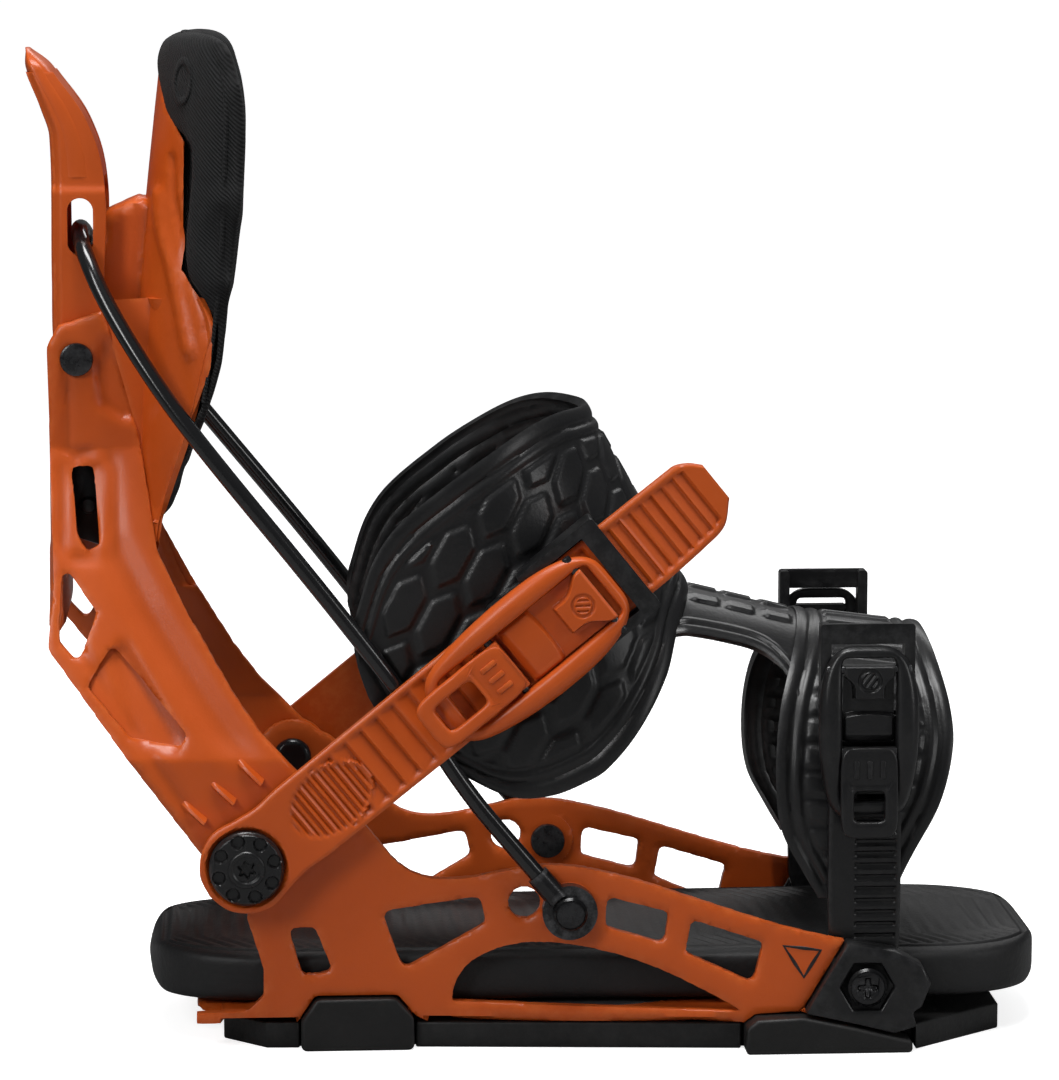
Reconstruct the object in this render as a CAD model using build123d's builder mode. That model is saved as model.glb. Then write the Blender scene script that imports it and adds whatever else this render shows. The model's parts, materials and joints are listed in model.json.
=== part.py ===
from build123d import *
import math
import os

os.makedirs("parts", exist_ok=True)

# Rear-entry strap binding. +X points to the toe, +Z up, and the origin is the centre
# of the board bolts on the board's surface. Right is -Y and left is +Y.

# ---- driving dimensions, mm ----
HEEL_HALF = 53.4            # outer face of a side rail at the heel, from the middle
RAIL_WALL = 4.5
TOE_HALF = 66.8             # outer face of a side rail's line at its front end
BEND_X = -58.0              # where the rails start to spread
TOE_LINE_X = 112.0
FLOOR_LOW = 9.0
FLOOR_TOP = 13.0
SOLE_TOP = 8.7
DISC_R = 50.0
BOLT_SPACING = 40.0
BOLT_HOLE_R = 3.25

PIVOT = (-96.0, 78.5)       # highback hinge, X and Z
KNOB = (-112.0, 63.5)       # ankle strap bolt on the highback
TOE_PIVOT = (90.0, 22.0)    # toe ladder bolt
CABLE_EYE = (-7.0, 47.0)    # cable bolt on the rail
LEVER_PIVOT = (-166.0, 225.0)

GAP = 0.3                   # running gap between moving faces
SHANK_R = 4.0
RUNNING = 0.06              # radial clearance of a hinge bore
ARM_IN = HEEL_HALF + GAP    # highback arms lie outside the rails
ARM_OUT = 58.5
ARM_TOP_IN = 19.8           # the arms close in to the lever bracket
ARM_TOP_OUT = 24.3
KNOB_FLOAT = 3.3            # room round the knob's shank in the highback arm

SHELL_R = 52.0
SHELL_WALL = 3.5
LADDER_ANGLE = 39.0         # ankle ladders, from level
LADDER_IN = 60.0
LADDER_WALL = 4.0
LEFT_TONGUE_END = 161.0     # the left ladder is cut short here, from its bolt
TOE_LADDER_IN = 55.0
TOE_LADDER_WALL = 3.6
ANKLE_R = 53.0              # outer radius of the ankle strap's arch
TOE_R = 54.7
STRAP_WALL = 4.0
CABLE_D = 5.6
EYE_IN = 58.5               # the cable's eye, between these depths
EYE_OUT = 63.3
EYE_R = 9.0
EYE_SHANK_R = 3.0
CROWN = (3.0, 207.0)        # front of the ankle arch's crown, X and Z
RUN_ANGLE = -60.9           # the way the ankle arch runs, from level
HINGE_BOSS_R = 12.5
BUCKLE_PIN_R = 1.5
RATCHET_TAIL = 2.2          # how far a ratchet lever reaches behind its pin


def save(piece, label):
    """Label a finished piece and write it to its own file."""
    piece.label = label
    export_step(piece, "parts/" + label + ".step")


def save_pair(piece, name):
    """Write a right-hand piece and its mirror image on the left."""
    with BuildPart() as other:
        mirror(piece, about=Plane.XZ)
    save(piece, name + "_right")
    save(other.part, name + "_left")


def rounded(points, radius):
    """A closed outline of straight runs with every corner rounded."""
    with BuildSketch() as shape:
        with BuildLine():
            Polyline(*points, close=True)
        make_face()
        fillet(shape.vertices(), radius)
    return shape.sketch


def side_plane(half):
    """The upright plane at this distance to the right of the middle."""
    return Plane.XZ.offset(half)


# ---- baseplate: floor and two windowed rails in one moulding ----
rail_windows = [
    rounded([(-98.5, 41), (-90, 41), (-84, 26), (-94, 25)], 2.0),
    rounded([(-68, 46), (-36, 51), (-34, 42), (-61, 26.5)], 2.5),
    rounded([(5.5, 51), (25.5, 46), (24, 35.5), (5, 41)], 2.0),
    rounded([(33, 43.5), (56.5, 36), (53, 22.5), (31, 32.5)], 2.0),
]

with BuildPart() as baseplate:
    with BuildSketch(Plane.XY):
        for side in (-1, 1):
            with BuildLine():
                Polyline(
                    (-140, side * HEEL_HALF), (BEND_X, side * HEEL_HALF),
                    (TOE_LINE_X, side * TOE_HALF), (TOE_LINE_X, side * (TOE_HALF - RAIL_WALL)),
                    (BEND_X, side * (HEEL_HALF - RAIL_WALL)), (-140, side * (HEEL_HALF - RAIL_WALL)),
                    close=True,
                )
            make_face()
    extrude(amount=100)
    with BuildSketch(Plane.XZ):
        with BuildLine():
            Spline((-84, 86), (-70, 71), (-58, 59), (-42, 57), (-17, 61.5), (10, 58), (83, 37))
            Polyline(
                (83, 37), (69, 13), (54, 12), (50, FLOOR_LOW), (-53, FLOOR_LOW), (-57, 11),
                (-63, 18), (-90, 18), (-96, FLOOR_LOW), (-129, FLOOR_LOW), (-129, FLOOR_TOP),
                (-112, 13.5), (-107, 18), (-107, 28), (-112, 44), (-109, 82), (-96, 91), (-84, 86),
            )
        make_face()
        with Locations(PIVOT):
            Circle(HINGE_BOSS_R)
        for window in rail_windows:
            add(window, mode=Mode.SUBTRACT)
        with BuildLine():
            Spline((-45, 16), (-42, 26), (-26, 35), (-10, 35.5), (20, 28), (49, 13.2))
            Polyline((49, 13.2), (20, 13.8), (-45, 16))
        make_face(mode=Mode.SUBTRACT)
        with Locations((-21.5, 49)):
            Circle(5.2, mode=Mode.SUBTRACT)
        with Locations(PIVOT):
            Circle(SHANK_R, mode=Mode.SUBTRACT)
        with Locations(CABLE_EYE):
            Circle(EYE_SHANK_R, mode=Mode.SUBTRACT)
    extrude(amount=80, both=True, mode=Mode.INTERSECT)
    with BuildSketch(Plane.XY.offset(FLOOR_LOW)):
        with BuildLine():
            Polyline(
                (-129, -40), (-118, -51), (BEND_X, -51), (104, -62.5), (104, 62.5), (BEND_X, 51),
                (-118, 51), (-129, 40), close=True,
            )
        make_face()
        for x, half, length in ((-75.5, 51.4, 40), (62.5, 60.4, 45)):
            for side in (-1, 1):
                with Locations((x, side * half)):
                    Rectangle(length, 4.4, mode=Mode.SUBTRACT)
    extrude(amount=FLOOR_TOP - FLOOR_LOW)
    for side in (-1, 1):
        with BuildSketch(Plane.XZ.offset(-side * 58.0)):
            with Locations(CABLE_EYE):
                Circle(EYE_R)
                Circle(EYE_SHANK_R, mode=Mode.SUBTRACT)
        extrude(amount=side * 5.0)
    with BuildSketch(Plane.XY.offset(FLOOR_LOW)):
        Circle(DISC_R - 4.7)
    extrude(amount=10, mode=Mode.SUBTRACT)
    with BuildSketch(Plane.XY.offset(10.5)):
        Circle(DISC_R + 0.3)
    extrude(amount=10, mode=Mode.SUBTRACT)
save(baseplate.part, "baseplate")

# ---- disc that the board bolts clamp ----
with BuildPart() as disc:
    with BuildSketch(Plane.XY):
        Circle(DISC_R - 5)
    extrude(amount=10.5)
    with BuildSketch(Plane.XY.offset(10.5)):
        Circle(DISC_R)
    extrude(amount=2.5)
    with Locations(Plane.XY.offset(FLOOR_TOP)):
        with GridLocations(BOLT_SPACING, BOLT_SPACING, 2, 2):
            CounterBoreHole(BOLT_HOLE_R, 7.0, 5.0)
save(disc.part, "mounting_disc")

# ---- rubber undersole with a round opening for the disc ----
with BuildPart() as undersole:
    with BuildSketch(Plane.XY):
        with BuildLine():
            Polyline(
                (-120, -36), (-106, -50), (BEND_X, -52.4), (106, -65), (138, -38), (138, 38),
                (106, 65), (BEND_X, 52.4), (-106, 50), (-120, 36), close=True,
            )
        make_face()
        Circle(DISC_R - 4.6, mode=Mode.SUBTRACT)
        for x, half, length in ((-76, 53.5, 38), (78, 62.0, 57)):
            for side in (-1, 1):
                with Locations((x, side * half)):
                    Rectangle(length, 10, mode=Mode.SUBTRACT)
    extrude(amount=SOLE_TOP)
    chamfer(undersole.edges().group_by(Axis.Z)[0].filter_by(lambda e: e.length > 100), 1.0)
save(undersole.part, "undersole")

# ---- rubber pads let into the rails ----
with BuildPart() as heel_pad:
    with BuildSketch(side_plane(49.2)):
        with BuildLine():
            Polyline(
                (-94.6, 0), (-94.6, 10), (-89.6, 17.4), (-63.4, 17.4), (-57.6, 10.8), (-57.6, 0),
                close=True,
            )
        make_face()
    extrude(amount=7.0)
    fillet(heel_pad.faces().sort_by(Axis.Y)[0].edges(), 1.2)
save_pair(heel_pad.part, "heel_pad")

with BuildPart() as toe_pad:
    with BuildSketch(side_plane(58.4)):
        with BuildLine():
            Polyline(
                (50.4, 0), (50.4, 8.8), (54.2, 11.6), (69, 12.2), (87, 8.3), (99, 5.3),
                (105, 4), (105, 0), close=True,
            )
        make_face()
    extrude(amount=11.0)
    fillet(toe_pad.faces().sort_by(Axis.Y)[0].edges(), 1.2)
save_pair(toe_pad.part, "toe_pad")

# ---- toe caps: clevis ends of the rails, standing on the floor ----
with BuildPart() as toe_cap:
    with BuildSketch(side_plane(59.2)):
        with BuildLine():
            Polyline(
                (83.6, 36.8), (99, 34), (108, 29), (111, 23), (108, 15), (105, 13.3), (69.8, 13.3),
                close=True,
            )
        make_face()
        with Locations(TOE_PIVOT):
            Circle(SHANK_R, mode=Mode.SUBTRACT)
    extrude(amount=9.2)
    with BuildSketch(side_plane(63.2)):
        with BuildLine():
            Polyline((69.8, 13.3), (105, 13.3), (106.5, 8.5), (99, 6.3), (87, 9.4), close=True)
        make_face()
    extrude(amount=5.2)
    with BuildSketch(side_plane(66.4)):
        with Locations(TOE_PIVOT):
            RegularPolygon(9.0, 6)
            Circle(SHANK_R, mode=Mode.SUBTRACT)
    extrude(amount=3, mode=Mode.SUBTRACT)
save_pair(toe_cap.part, "toe_cap")

# ---- fasteners on the chassis ----
with BuildPart() as toe_bolt:
    with BuildSketch(side_plane(66.4)):
        with Locations(TOE_PIVOT):
            Circle(6.3)
    extrude(amount=3.0)
    with BuildSketch(side_plane(66.4)):
        with Locations(TOE_PIVOT):
            Circle(SHANK_R)
    extrude(amount=-12.0)
    with BuildSketch(side_plane(52.2)):
        with Locations(TOE_PIVOT):
            Circle(6.5)
    extrude(amount=2.5)
    with BuildSketch(side_plane(68.2)):
        with Locations(TOE_PIVOT):
            Rectangle(6.4, 1.5)
            Rectangle(1.5, 6.4)
    extrude(amount=3, mode=Mode.SUBTRACT)
    chamfer(toe_bolt.faces().sort_by(Axis.Y)[0].outer_wire().edges(), 0.5)
save_pair(toe_bolt.part, "toe_bolt")

with BuildPart() as pivot_bolt:
    with BuildSketch(side_plane(ARM_OUT)):
        with Locations(PIVOT):
            Circle(SHANK_R)
    extrude(amount=-(ARM_OUT - 46.5))
    with BuildSketch(side_plane(HEEL_HALF - RAIL_WALL)):
        with Locations(PIVOT):
            Circle(6.5)
    extrude(amount=-3.2)
    fillet(pivot_bolt.faces().sort_by(Axis.Y)[-1].edges(), 2.2)
save_pair(pivot_bolt.part, "pivot_bolt")

with BuildPart() as cable_bolt:
    with BuildSketch(side_plane(EYE_OUT + GAP)):
        with Locations(CABLE_EYE):
            Circle(5.4)
    extrude(amount=2.6)
    with BuildSketch(side_plane(EYE_OUT + GAP)):
        with Locations(CABLE_EYE):
            Circle(EYE_SHANK_R)
    extrude(amount=-(EYE_OUT + GAP - 50.0))
    with BuildSketch(side_plane(48.8)):
        with Locations(CABLE_EYE):
            Circle(6.0)
    extrude(amount=3.0)
    chamfer(cable_bolt.faces().sort_by(Axis.Y)[0].edges(), 0.5)
save_pair(cable_bolt.part, "cable_bolt")

# ---- footbed ----
with BuildPart() as footbed:
    with BuildSketch(Plane.XY.offset(13.3)):
        with BuildLine():
            Polyline(
                (-142, -24), (-132, -40), (-112, -46.8), (-56, -47.4), (60, -50.6), (118, -53), (142, -48),
                (154, -28), (154, 28), (142, 48), (118, 53), (60, 50.6), (-56, 47.4), (-112, 46.8),
                (-132, 40), (-142, 24), close=True,
            )
        make_face()
    extrude(amount=18.0)
save(footbed.part, "footbed")

# ---- highback shell: part of a leaning cylinder with a rear spine ----
def leaning_solid(radius, low, high):
    """A solid of round sections whose centre leans forward with height."""
    with BuildPart() as solid:
        for height in (low, 200.0, 262.0, 300.0, high):
            centre = -99.5 + 8.5 * max(0.0, (height - 170.0) / 110.0) ** 1.4
            with BuildSketch(Plane.XY.offset(height)):
                with Locations((centre, 0)):
                    Circle(radius)
        loft()
    return solid.part


shell_outer = leaning_solid(SHELL_R, 140.0, 340.0)
shell_inner = leaning_solid(SHELL_R - SHELL_WALL, 130.0, 345.0)
pad_back = leaning_solid(SHELL_R - SHELL_WALL - 0.2, 140.0, 340.0)
pad_wrap = leaning_solid(SHELL_R + 0.6, 140.0, 340.0)
pad_front = leaning_solid(SHELL_R - 12.0, 130.0, 345.0)

shell_outline = [
    (-155, 152), (-141, 156), (-137, 182), (-130, 203), (-122, 224), (-121, 238), (-131, 255),
    (-130, 296), (-136, 307), (-139, 322), (-150, 322), (-155, 300),
]
wrap_outline = [
    (-136.6, 182), (-129.6, 203), (-121.6, 224), (-120.5, 238), (-130.4, 255), (-129.4, 296),
    (-135.4, 307.5), (-138.4, 322), (-134, 331), (-122, 333), (-114, 327), (-109, 304), (-110, 285),
    (-114, 257), (-118.5, 222), (-125, 203), (-132, 188),
]

with BuildPart() as highback_shell:
    add(shell_outer)
    add(shell_inner, mode=Mode.SUBTRACT)
    with BuildSketch(Plane.XZ):
        with BuildLine():
            Polyline(*shell_outline, close=True)
        make_face()
    extrude(amount=60, both=True, mode=Mode.INTERSECT)
    with BuildSketch(Plane.XZ):
        with BuildLine():
            Polyline(
                (-157, 272), (-146, 277), (-141, 276), (-144, 240), (-149.5, 200), (-149.5, 185),
                (-158, 190), (-160.5, 205), (-160, 250), close=True,
            )
        make_face()
    extrude(amount=11, both=True)
    add(shell_inner, mode=Mode.SUBTRACT)
save(highback_shell.part, "highback_shell")

# ---- calf pad: a liner inside the shell that also wraps its front edges ----
pad_outline = [
    (-160, 168), (-137.5, 170), (-132, 189), (-125, 203), (-118.5, 222), (-114, 257), (-110, 285),
    (-109, 304), (-114, 327), (-122, 333), (-134, 331), (-150, 328), (-160, 300),
]

with BuildPart() as pad_liner:
    add(pad_back)
    add(pad_front, mode=Mode.SUBTRACT)
    with BuildSketch(Plane.XZ):
        with BuildLine():
            Polyline(*pad_outline, close=True)
        make_face()
    extrude(amount=60, both=True, mode=Mode.INTERSECT)

with BuildPart() as calf_pad:
    add(pad_wrap)
    add(pad_front, mode=Mode.SUBTRACT)
    with BuildSketch(Plane.XZ):
        with BuildLine():
            Polyline(*wrap_outline, close=True)
        make_face()
    extrude(amount=60, both=True, mode=Mode.INTERSECT)
    add(pad_liner.part)
save(calf_pad.part, "calf_pad")

# ---- yoke: two arms from the hinge up to the lever bracket ----
yoke_outline = [
    (-172, 236), (-176, 229), (-175, 190), (-174, 151), (-176, 133), (-127, 67), (-104, 52), (-84, 78),
    (-88, 86), (-107, 106), (-116, 119), (-130, 143), (-140, 163), (-146, 200), (-157, 241),
]
arm_recess = rounded([(-155, 134), (-131, 106), (-133, 102), (-149, 105), (-163, 121)], 1.8)
arm_window = rounded([(-171, 160), (-160, 144), (-166, 128), (-172, 135)], 1.8)
lean_slot = rounded([(-168, 190), (-161, 190), (-159, 165), (-163, 163), (-166, 168)], 1.6)


def arm_layer(inner, outer):
    """Both arms between two depths of the wall, as a prism seen from the front."""
    rise = ARM_OUT - ARM_IN
    low_in = ARM_IN + inner * rise
    low_out = ARM_IN + outer * rise
    top_in = ARM_TOP_IN + inner * (ARM_TOP_OUT - ARM_TOP_IN)
    top_out = ARM_TOP_IN + outer * (ARM_TOP_OUT - ARM_TOP_IN)
    with BuildPart() as layer:
        with BuildSketch(Plane.YZ.offset(-180)):
            for side in (-1, 1):
                with BuildLine():
                    Polyline(
                        (side * low_out, 40), (side * low_out, 98), (side * top_out, 196),
                        (side * top_out, 245), (side * top_in, 245), (side * top_in, 197),
                        (side * low_in, 99), (side * low_in, 40), close=True,
                    )
                make_face()
        extrude(amount=110)
    return layer.part


inner_layer = arm_layer(0.0, 0.5)
outer_layer = arm_layer(0.5, 1.0)


def arm_profile(recess):
    """Side outline of the arms with their openings."""
    with BuildSketch(Plane.XZ) as profile:
        with BuildLine():
            Polyline(*yoke_outline, close=True)
        make_face()
        with Locations(KNOB):
            Circle(14.6)
        with Locations(PIVOT):
            Circle(HINGE_BOSS_R)
        add(arm_window, mode=Mode.SUBTRACT)
        add(lean_slot, mode=Mode.SUBTRACT)
        if recess:
            add(arm_recess, mode=Mode.SUBTRACT)
        with Locations(PIVOT):
            Circle(SHANK_R + RUNNING, mode=Mode.SUBTRACT)
        with Locations(KNOB):
            Circle(SHANK_R + KNOB_FLOAT, mode=Mode.SUBTRACT)
        with Locations(LEVER_PIVOT):
            Circle(3.5, mode=Mode.SUBTRACT)
    return profile.sketch


with BuildPart() as outer_arms:
    add(outer_layer)
    extrude(arm_profile(True), amount=80, both=True, mode=Mode.INTERSECT)

with BuildPart() as yoke:
    add(inner_layer)
    extrude(arm_profile(False), amount=80, both=True, mode=Mode.INTERSECT)
    add(outer_arms.part)
    with BuildSketch(Plane.YZ.offset(-175.5)):
        with BuildLine():
            Polyline((-42.0, 138), (-21.5, 204), (21.5, 204), (42.0, 138), close=True)
        make_face()
        with Locations((0, 158)):
            SlotOverall(34, 14, mode=Mode.SUBTRACT)
    extrude(amount=5.0)
    add(leaning_solid(SHELL_R + 0.2, 140.0, 340.0), mode=Mode.SUBTRACT)
save(yoke.part, "yoke")

# ---- lever pin and forward-lean block ----
with BuildPart() as lever_pin:
    with BuildSketch(Plane.XZ.offset(-ARM_TOP_OUT)):
        with Locations(LEVER_PIVOT):
            Circle(3.5)
    extrude(amount=2 * ARM_TOP_OUT)
    for side in (-1, 1):
        with BuildSketch(Plane.XZ.offset(-side * ARM_TOP_OUT)):
            with Locations(LEVER_PIVOT):
                Circle(5.5)
        extrude(amount=-side * 2.0)
save(lever_pin.part, "lever_pin")

with BuildPart() as lean_block:
    with BuildSketch(Plane.XZ):
        with BuildLine():
            Polyline((-170.3, 192), (-170.3, 166), (-152.4, 160), (-152.4, 180), (-162.2, 192), close=True)
        make_face()
    extrude(amount=15, both=True)
    with BuildSketch(Plane.XZ.offset(-20.5)):
        with Locations((-163, 176)):
            Circle(2.5)
    extrude(amount=41)
save(lean_block.part, "lean_block")

# ---- release lever on the back of the highback ----
with BuildPart() as release_lever:
    with BuildSketch(Plane.XZ):
        with BuildLine():
            Polyline(
                (-174, 228), (-174, 299), (-184, 325), (-180, 326), (-170, 312), (-157, 289),
                (-156, 272), (-157.5, 240), (-161, 222), (-166, 218), (-171, 221), close=True,
            )
        make_face()
    extrude(amount=19.5, both=True)
    with BuildSketch(Plane.XZ):
        with BuildLine():
            Polyline(
                (-170.5, 236), (-170.5, 300), (-181, 330), (-150, 330), (-150, 210), (-180, 210),
                (-180, 236), close=True,
            )
        make_face()
    extrude(amount=15.5, both=True, mode=Mode.SUBTRACT)
    with BuildSketch(Plane.XZ):
        with Locations(LEVER_PIVOT):
            Circle(3.5 + RUNNING)
        with Locations((-164.4, 262.6)):
            Circle(4.3)
        with Locations((-164.4, 273)):
            Circle(4.3)
        with Locations((-164.4, 268)):
            Rectangle(7.4, 10)
    extrude(amount=30, both=True, mode=Mode.SUBTRACT)
save(release_lever.part, "release_lever")

# ---- cable: one loop from rail to rail through the lever's slots ----
half_route = [
    (-12.4, -61.1, 53.3), (-24, -59.8, 66.8), (-41, -57.6, 87), (-57, -56.6, 113), (-88, -55.6, 153.5),
    (-121, -52.6, 194), (-139, -44.5, 217), (-155.5, -34, 243), (-162.5, -26.5, 258.5),
    (-165.2, -13.5, 266.0),
]
route = half_route + [(x, -y, z) for x, y, z in reversed(half_route)]
corners = [Vector(*point) for point in route]
runs = [b - a for a, b in zip(corners, corners[1:])]
radii = []
for before, after in zip(runs, runs[1:]):
    half_turn = math.radians(before.get_angle(after)) / 2
    radii.append(0.45 * min(before.length, after.length) / math.tan(half_turn))

with BuildPart() as cable:
    with BuildLine() as path:
        FilletPolyline(*route, radius=radii)
    with BuildSketch(Plane(origin=path.line @ 0, z_dir=path.line % 0)):
        Circle(CABLE_D / 2)
    sweep()
cable_section = math.pi * CABLE_D ** 2 / 4
cable_length = path.wires()[0].length
print("cable length", cable_length, "volume ratio", cable.part.volume / (cable_section * cable_length))
save(cable.part, "cable")

# ---- rod ends: an eye on the rail's bolt and a sleeve on the cable ----
with BuildPart() as cable_end:
    with BuildSketch(side_plane(EYE_IN)):
        with Locations(CABLE_EYE):
            Circle(EYE_R)
    extrude(amount=EYE_OUT - EYE_IN)
    first = corners[0]
    along = runs[0].normalized()
    with BuildSketch(Plane(origin=first - along * 3.0, z_dir=along)):
        Circle(4.0)
    with BuildSketch(Plane(origin=first + along * 8.0, z_dir=along)):
        Circle(3.7)
    loft()
    with BuildSketch(Plane(origin=first, z_dir=along)):
        Circle(CABLE_D / 2 + 0.02)
    extrude(amount=20, mode=Mode.SUBTRACT)
    with BuildSketch(side_plane(70)):
        with Locations(CABLE_EYE):
            Circle(EYE_SHANK_R + RUNNING)
    extrude(amount=-20, mode=Mode.SUBTRACT)
    with BuildSketch(side_plane(EYE_IN)):
        with Locations(CABLE_EYE):
            Circle(16.0)
    extrude(amount=-9, mode=Mode.SUBTRACT)
    with BuildSketch(side_plane(EYE_OUT)):
        with Locations(CABLE_EYE):
            Circle(6.2)
    extrude(amount=9, mode=Mode.SUBTRACT)
save_pair(cable_end.part, "cable_end")

# ---- ankle strap: an arch across the instep ----
run = math.radians(RUN_ANGLE)
arch_plane = Plane(
    origin=(CROWN[0] - 12 * math.cos(run), 0, CROWN[1] - 12 * math.sin(run)),
    x_dir=(0, 1, 0),
    z_dir=(math.cos(run), 0, math.sin(run)),
)


def arch_band(plane, radius, wall, depth, length):
    """An inverted U, its crown at the plane's origin, run along the plane's normal."""
    with BuildPart() as band:
        with BuildSketch(plane):
            with Locations((0, -radius)):
                Circle(radius)
                Circle(radius - wall, mode=Mode.SUBTRACT)
                with Locations((0, -radius)):
                    Rectangle(4 * radius, 2 * radius, mode=Mode.SUBTRACT)
            for side in (-1, 1):
                with Locations((side * (radius - wall / 2), -(radius + depth) / 2)):
                    Rectangle(wall, depth - radius)
        extrude(amount=length)
    return band.part


strap_outline = [
    (5, 210), (-14, 208), (-30, 199), (-48, 187), (-63, 173), (-73, 155), (-78, 134), (-68, 113),
    (-50, 94), (-36, 85), (-26, 81.5), (-12, 82.5), (3, 90), (17, 105), (27, 122), (37, 146),
    (12, 180),
]

with BuildPart() as ankle_strap:
    add(arch_band(arch_plane, ANKLE_R, STRAP_WALL, 118, 130))
    with BuildSketch(Plane.XZ):
        with BuildLine():
            Polyline(*strap_outline, close=True)
        make_face()
    extrude(amount=70, both=True, mode=Mode.INTERSECT)
save(ankle_strap.part, "ankle_strap")

# ---- bridge between the two straps, with the opening under it ----
bridge_tilt = math.radians(-13.7)
with BuildPart() as strap_bridge:
    add(arch_band(
        Plane(
            origin=(41.5, 0, 145.2),
            x_dir=(0, 1, 0),
            z_dir=(math.cos(bridge_tilt), 0, math.sin(bridge_tilt)),
        ),
        ANKLE_R, STRAP_WALL, ANKLE_R + 1, 28.5,
    ))
    with BuildSketch(Plane.XY):
        with Locations((57, 0)):
            Rectangle(60, 66)
    extrude(amount=200, mode=Mode.INTERSECT)
save(strap_bridge.part, "strap_bridge")

# ---- toe strap: an arch over the toe box, open in front ----
toe_tilt = math.radians(-7.0)
toe_outline = [
    (74, 140), (68, 125), (63, 110), (61, 90), (63, 72), (70, 58), (76, 48), (100, 48), (106, 62),
    (115, 80), (120, 98), (120, 110), (117, 126), (112, 140),
]
with BuildPart() as toe_strap:
    add(arch_band(
        Plane(
            origin=(56, 0, 139.2),
            x_dir=(0, 1, 0),
            z_dir=(math.cos(toe_tilt), 0, math.sin(toe_tilt)),
        ),
        TOE_R, STRAP_WALL, 96, 72,
    ))
    with BuildSketch(Plane.XZ):
        with BuildLine():
            Polyline(*toe_outline, close=True)
        make_face()
    extrude(amount=70, both=True, mode=Mode.INTERSECT)
save(toe_strap.part, "toe_strap")


# ---- ladders and ratchet buckles, laid out along each ladder ----
def ladder_plane(origin, angle, half):
    """Plane facing right at this depth, with x along the ladder from its bolt."""
    lean = math.radians(angle)
    return Plane(
        origin=(origin[0], -half, origin[1]),
        x_dir=(math.cos(lean), 0, math.sin(lean)),
        z_dir=(0, -1, 0),
    )


def slab(plane, along, across, corner):
    """A rounded rectangle laid out in ladder directions."""
    with BuildSketch(plane) as outline:
        with Locations((sum(along) / 2, sum(across) / 2)):
            RectangleRounded(along[1] - along[0], across[1] - across[0], corner)
    return outline.sketch


ankle_plane = ladder_plane(KNOB, LADDER_ANGLE, LADDER_IN)
ankle_face = ladder_plane(KNOB, LADDER_ANGLE, LADDER_IN + LADDER_WALL)
toe_plane = ladder_plane(TOE_PIVOT, 90, TOE_LADDER_IN)
toe_face = ladder_plane(TOE_PIVOT, 90, TOE_LADDER_IN + TOE_LADDER_WALL)

with BuildPart() as ankle_ladder:
    with BuildSketch(ankle_plane):
        with BuildLine():
            Polyline(
                (0, 15), (14, 13.0), (24, 13.8), (188, 13.8), (196.5, 9), (196.5, -5), (190, -12),
                (160, -13.8), (24, -13.8), (14, -13.0), (0, -15), close=True,
            )
        make_face()
        Circle(15.2)
    extrude(amount=LADDER_WALL)
    with BuildSketch(ladder_plane(KNOB, LADDER_ANGLE, ARM_OUT + GAP)):
        Circle(15.2)
    extrude(amount=2.0)
    with BuildSketch(ladder_plane(KNOB, LADDER_ANGLE, 61.5)):
        Circle(12.1)
    extrude(amount=5, mode=Mode.SUBTRACT)
    with BuildSketch(ladder_plane(KNOB, LADDER_ANGLE, 50)):
        Circle(SHANK_R)
    extrude(amount=20, mode=Mode.SUBTRACT)
    with BuildSketch(ladder_plane(KNOB, LADDER_ANGLE, LADDER_IN + LADDER_WALL - 0.9)):
        for rib in range(12):
            across = 21 * math.sqrt(1 - ((rib - 5.5) / 7.5) ** 2)
            with Locations((23.5 + 1.9 * rib, 0)):
                Rectangle(0.9, across)
        for rib in range(6):
            with Locations((52 + 5.6 * rib, 0)):
                Rectangle(3.4, 22)
        for rib in range(8):
            with Locations((161.5 + 4.2 * rib, 0.6)):
                Rectangle(2.4, 21)
    extrude(amount=3, mode=Mode.SUBTRACT)
save(ankle_ladder.part, "ankle_ladder_right")

# the left ladder's tongue ends just past its buckle
with BuildPart() as left_ladder:
    mirror(ankle_ladder.part, about=Plane.XZ)
    with BuildSketch(ladder_plane(KNOB, LADDER_ANGLE, -80)):
        with Locations((LEFT_TONGUE_END + 25, 0)):
            Rectangle(50, 40)
    extrude(amount=40, mode=Mode.SUBTRACT)
save(left_ladder.part, "ankle_ladder_left")

with BuildPart() as strap_knob:
    with BuildSketch(ladder_plane(KNOB, LADDER_ANGLE, 61.6)):
        Circle(11.6)
    extrude(amount=6.4)
    fillet(strap_knob.faces().sort_by(Axis.Y)[0].edges(), 1.4)
    with BuildSketch(ladder_plane(KNOB, LADDER_ANGLE, 66.2)):
        with PolarLocations(9.2, 8):
            Circle(2.2)
        Circle(5.6)
        Circle(4.4, mode=Mode.SUBTRACT)
    extrude(amount=3, mode=Mode.SUBTRACT)
    with BuildSketch(ladder_plane(KNOB, LADDER_ANGLE, 61.6)):
        Circle(SHANK_R)
    extrude(amount=-7.6)
    with BuildSketch(ladder_plane(KNOB, LADDER_ANGLE, 66.0)):
        RegularPolygon(2.2, 6)
    extrude(amount=5, mode=Mode.SUBTRACT)
save_pair(strap_knob.part, "strap_knob")

with BuildPart() as toe_ladder:
    with BuildSketch(toe_plane):
        Circle(8.2)
        with BuildLine():
            Polyline(
                (-1, 8), (12, 11.5), (58, 11.8), (90, 11.2), (90, -11.2), (58, -11.8), (12, -11.5),
                (-1, -8), close=True,
            )
        make_face()
        Circle(SHANK_R + RUNNING, mode=Mode.SUBTRACT)
    extrude(amount=TOE_LADDER_WALL)
    with BuildSketch(toe_face.offset(-0.8)):
        for rib in range(9):
            with Locations((16 + 3.9 * rib, -3.5)):
                Rectangle(2.2, 12)
    extrude(amount=3, mode=Mode.SUBTRACT)
save_pair(toe_ladder.part, "toe_ladder")


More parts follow.
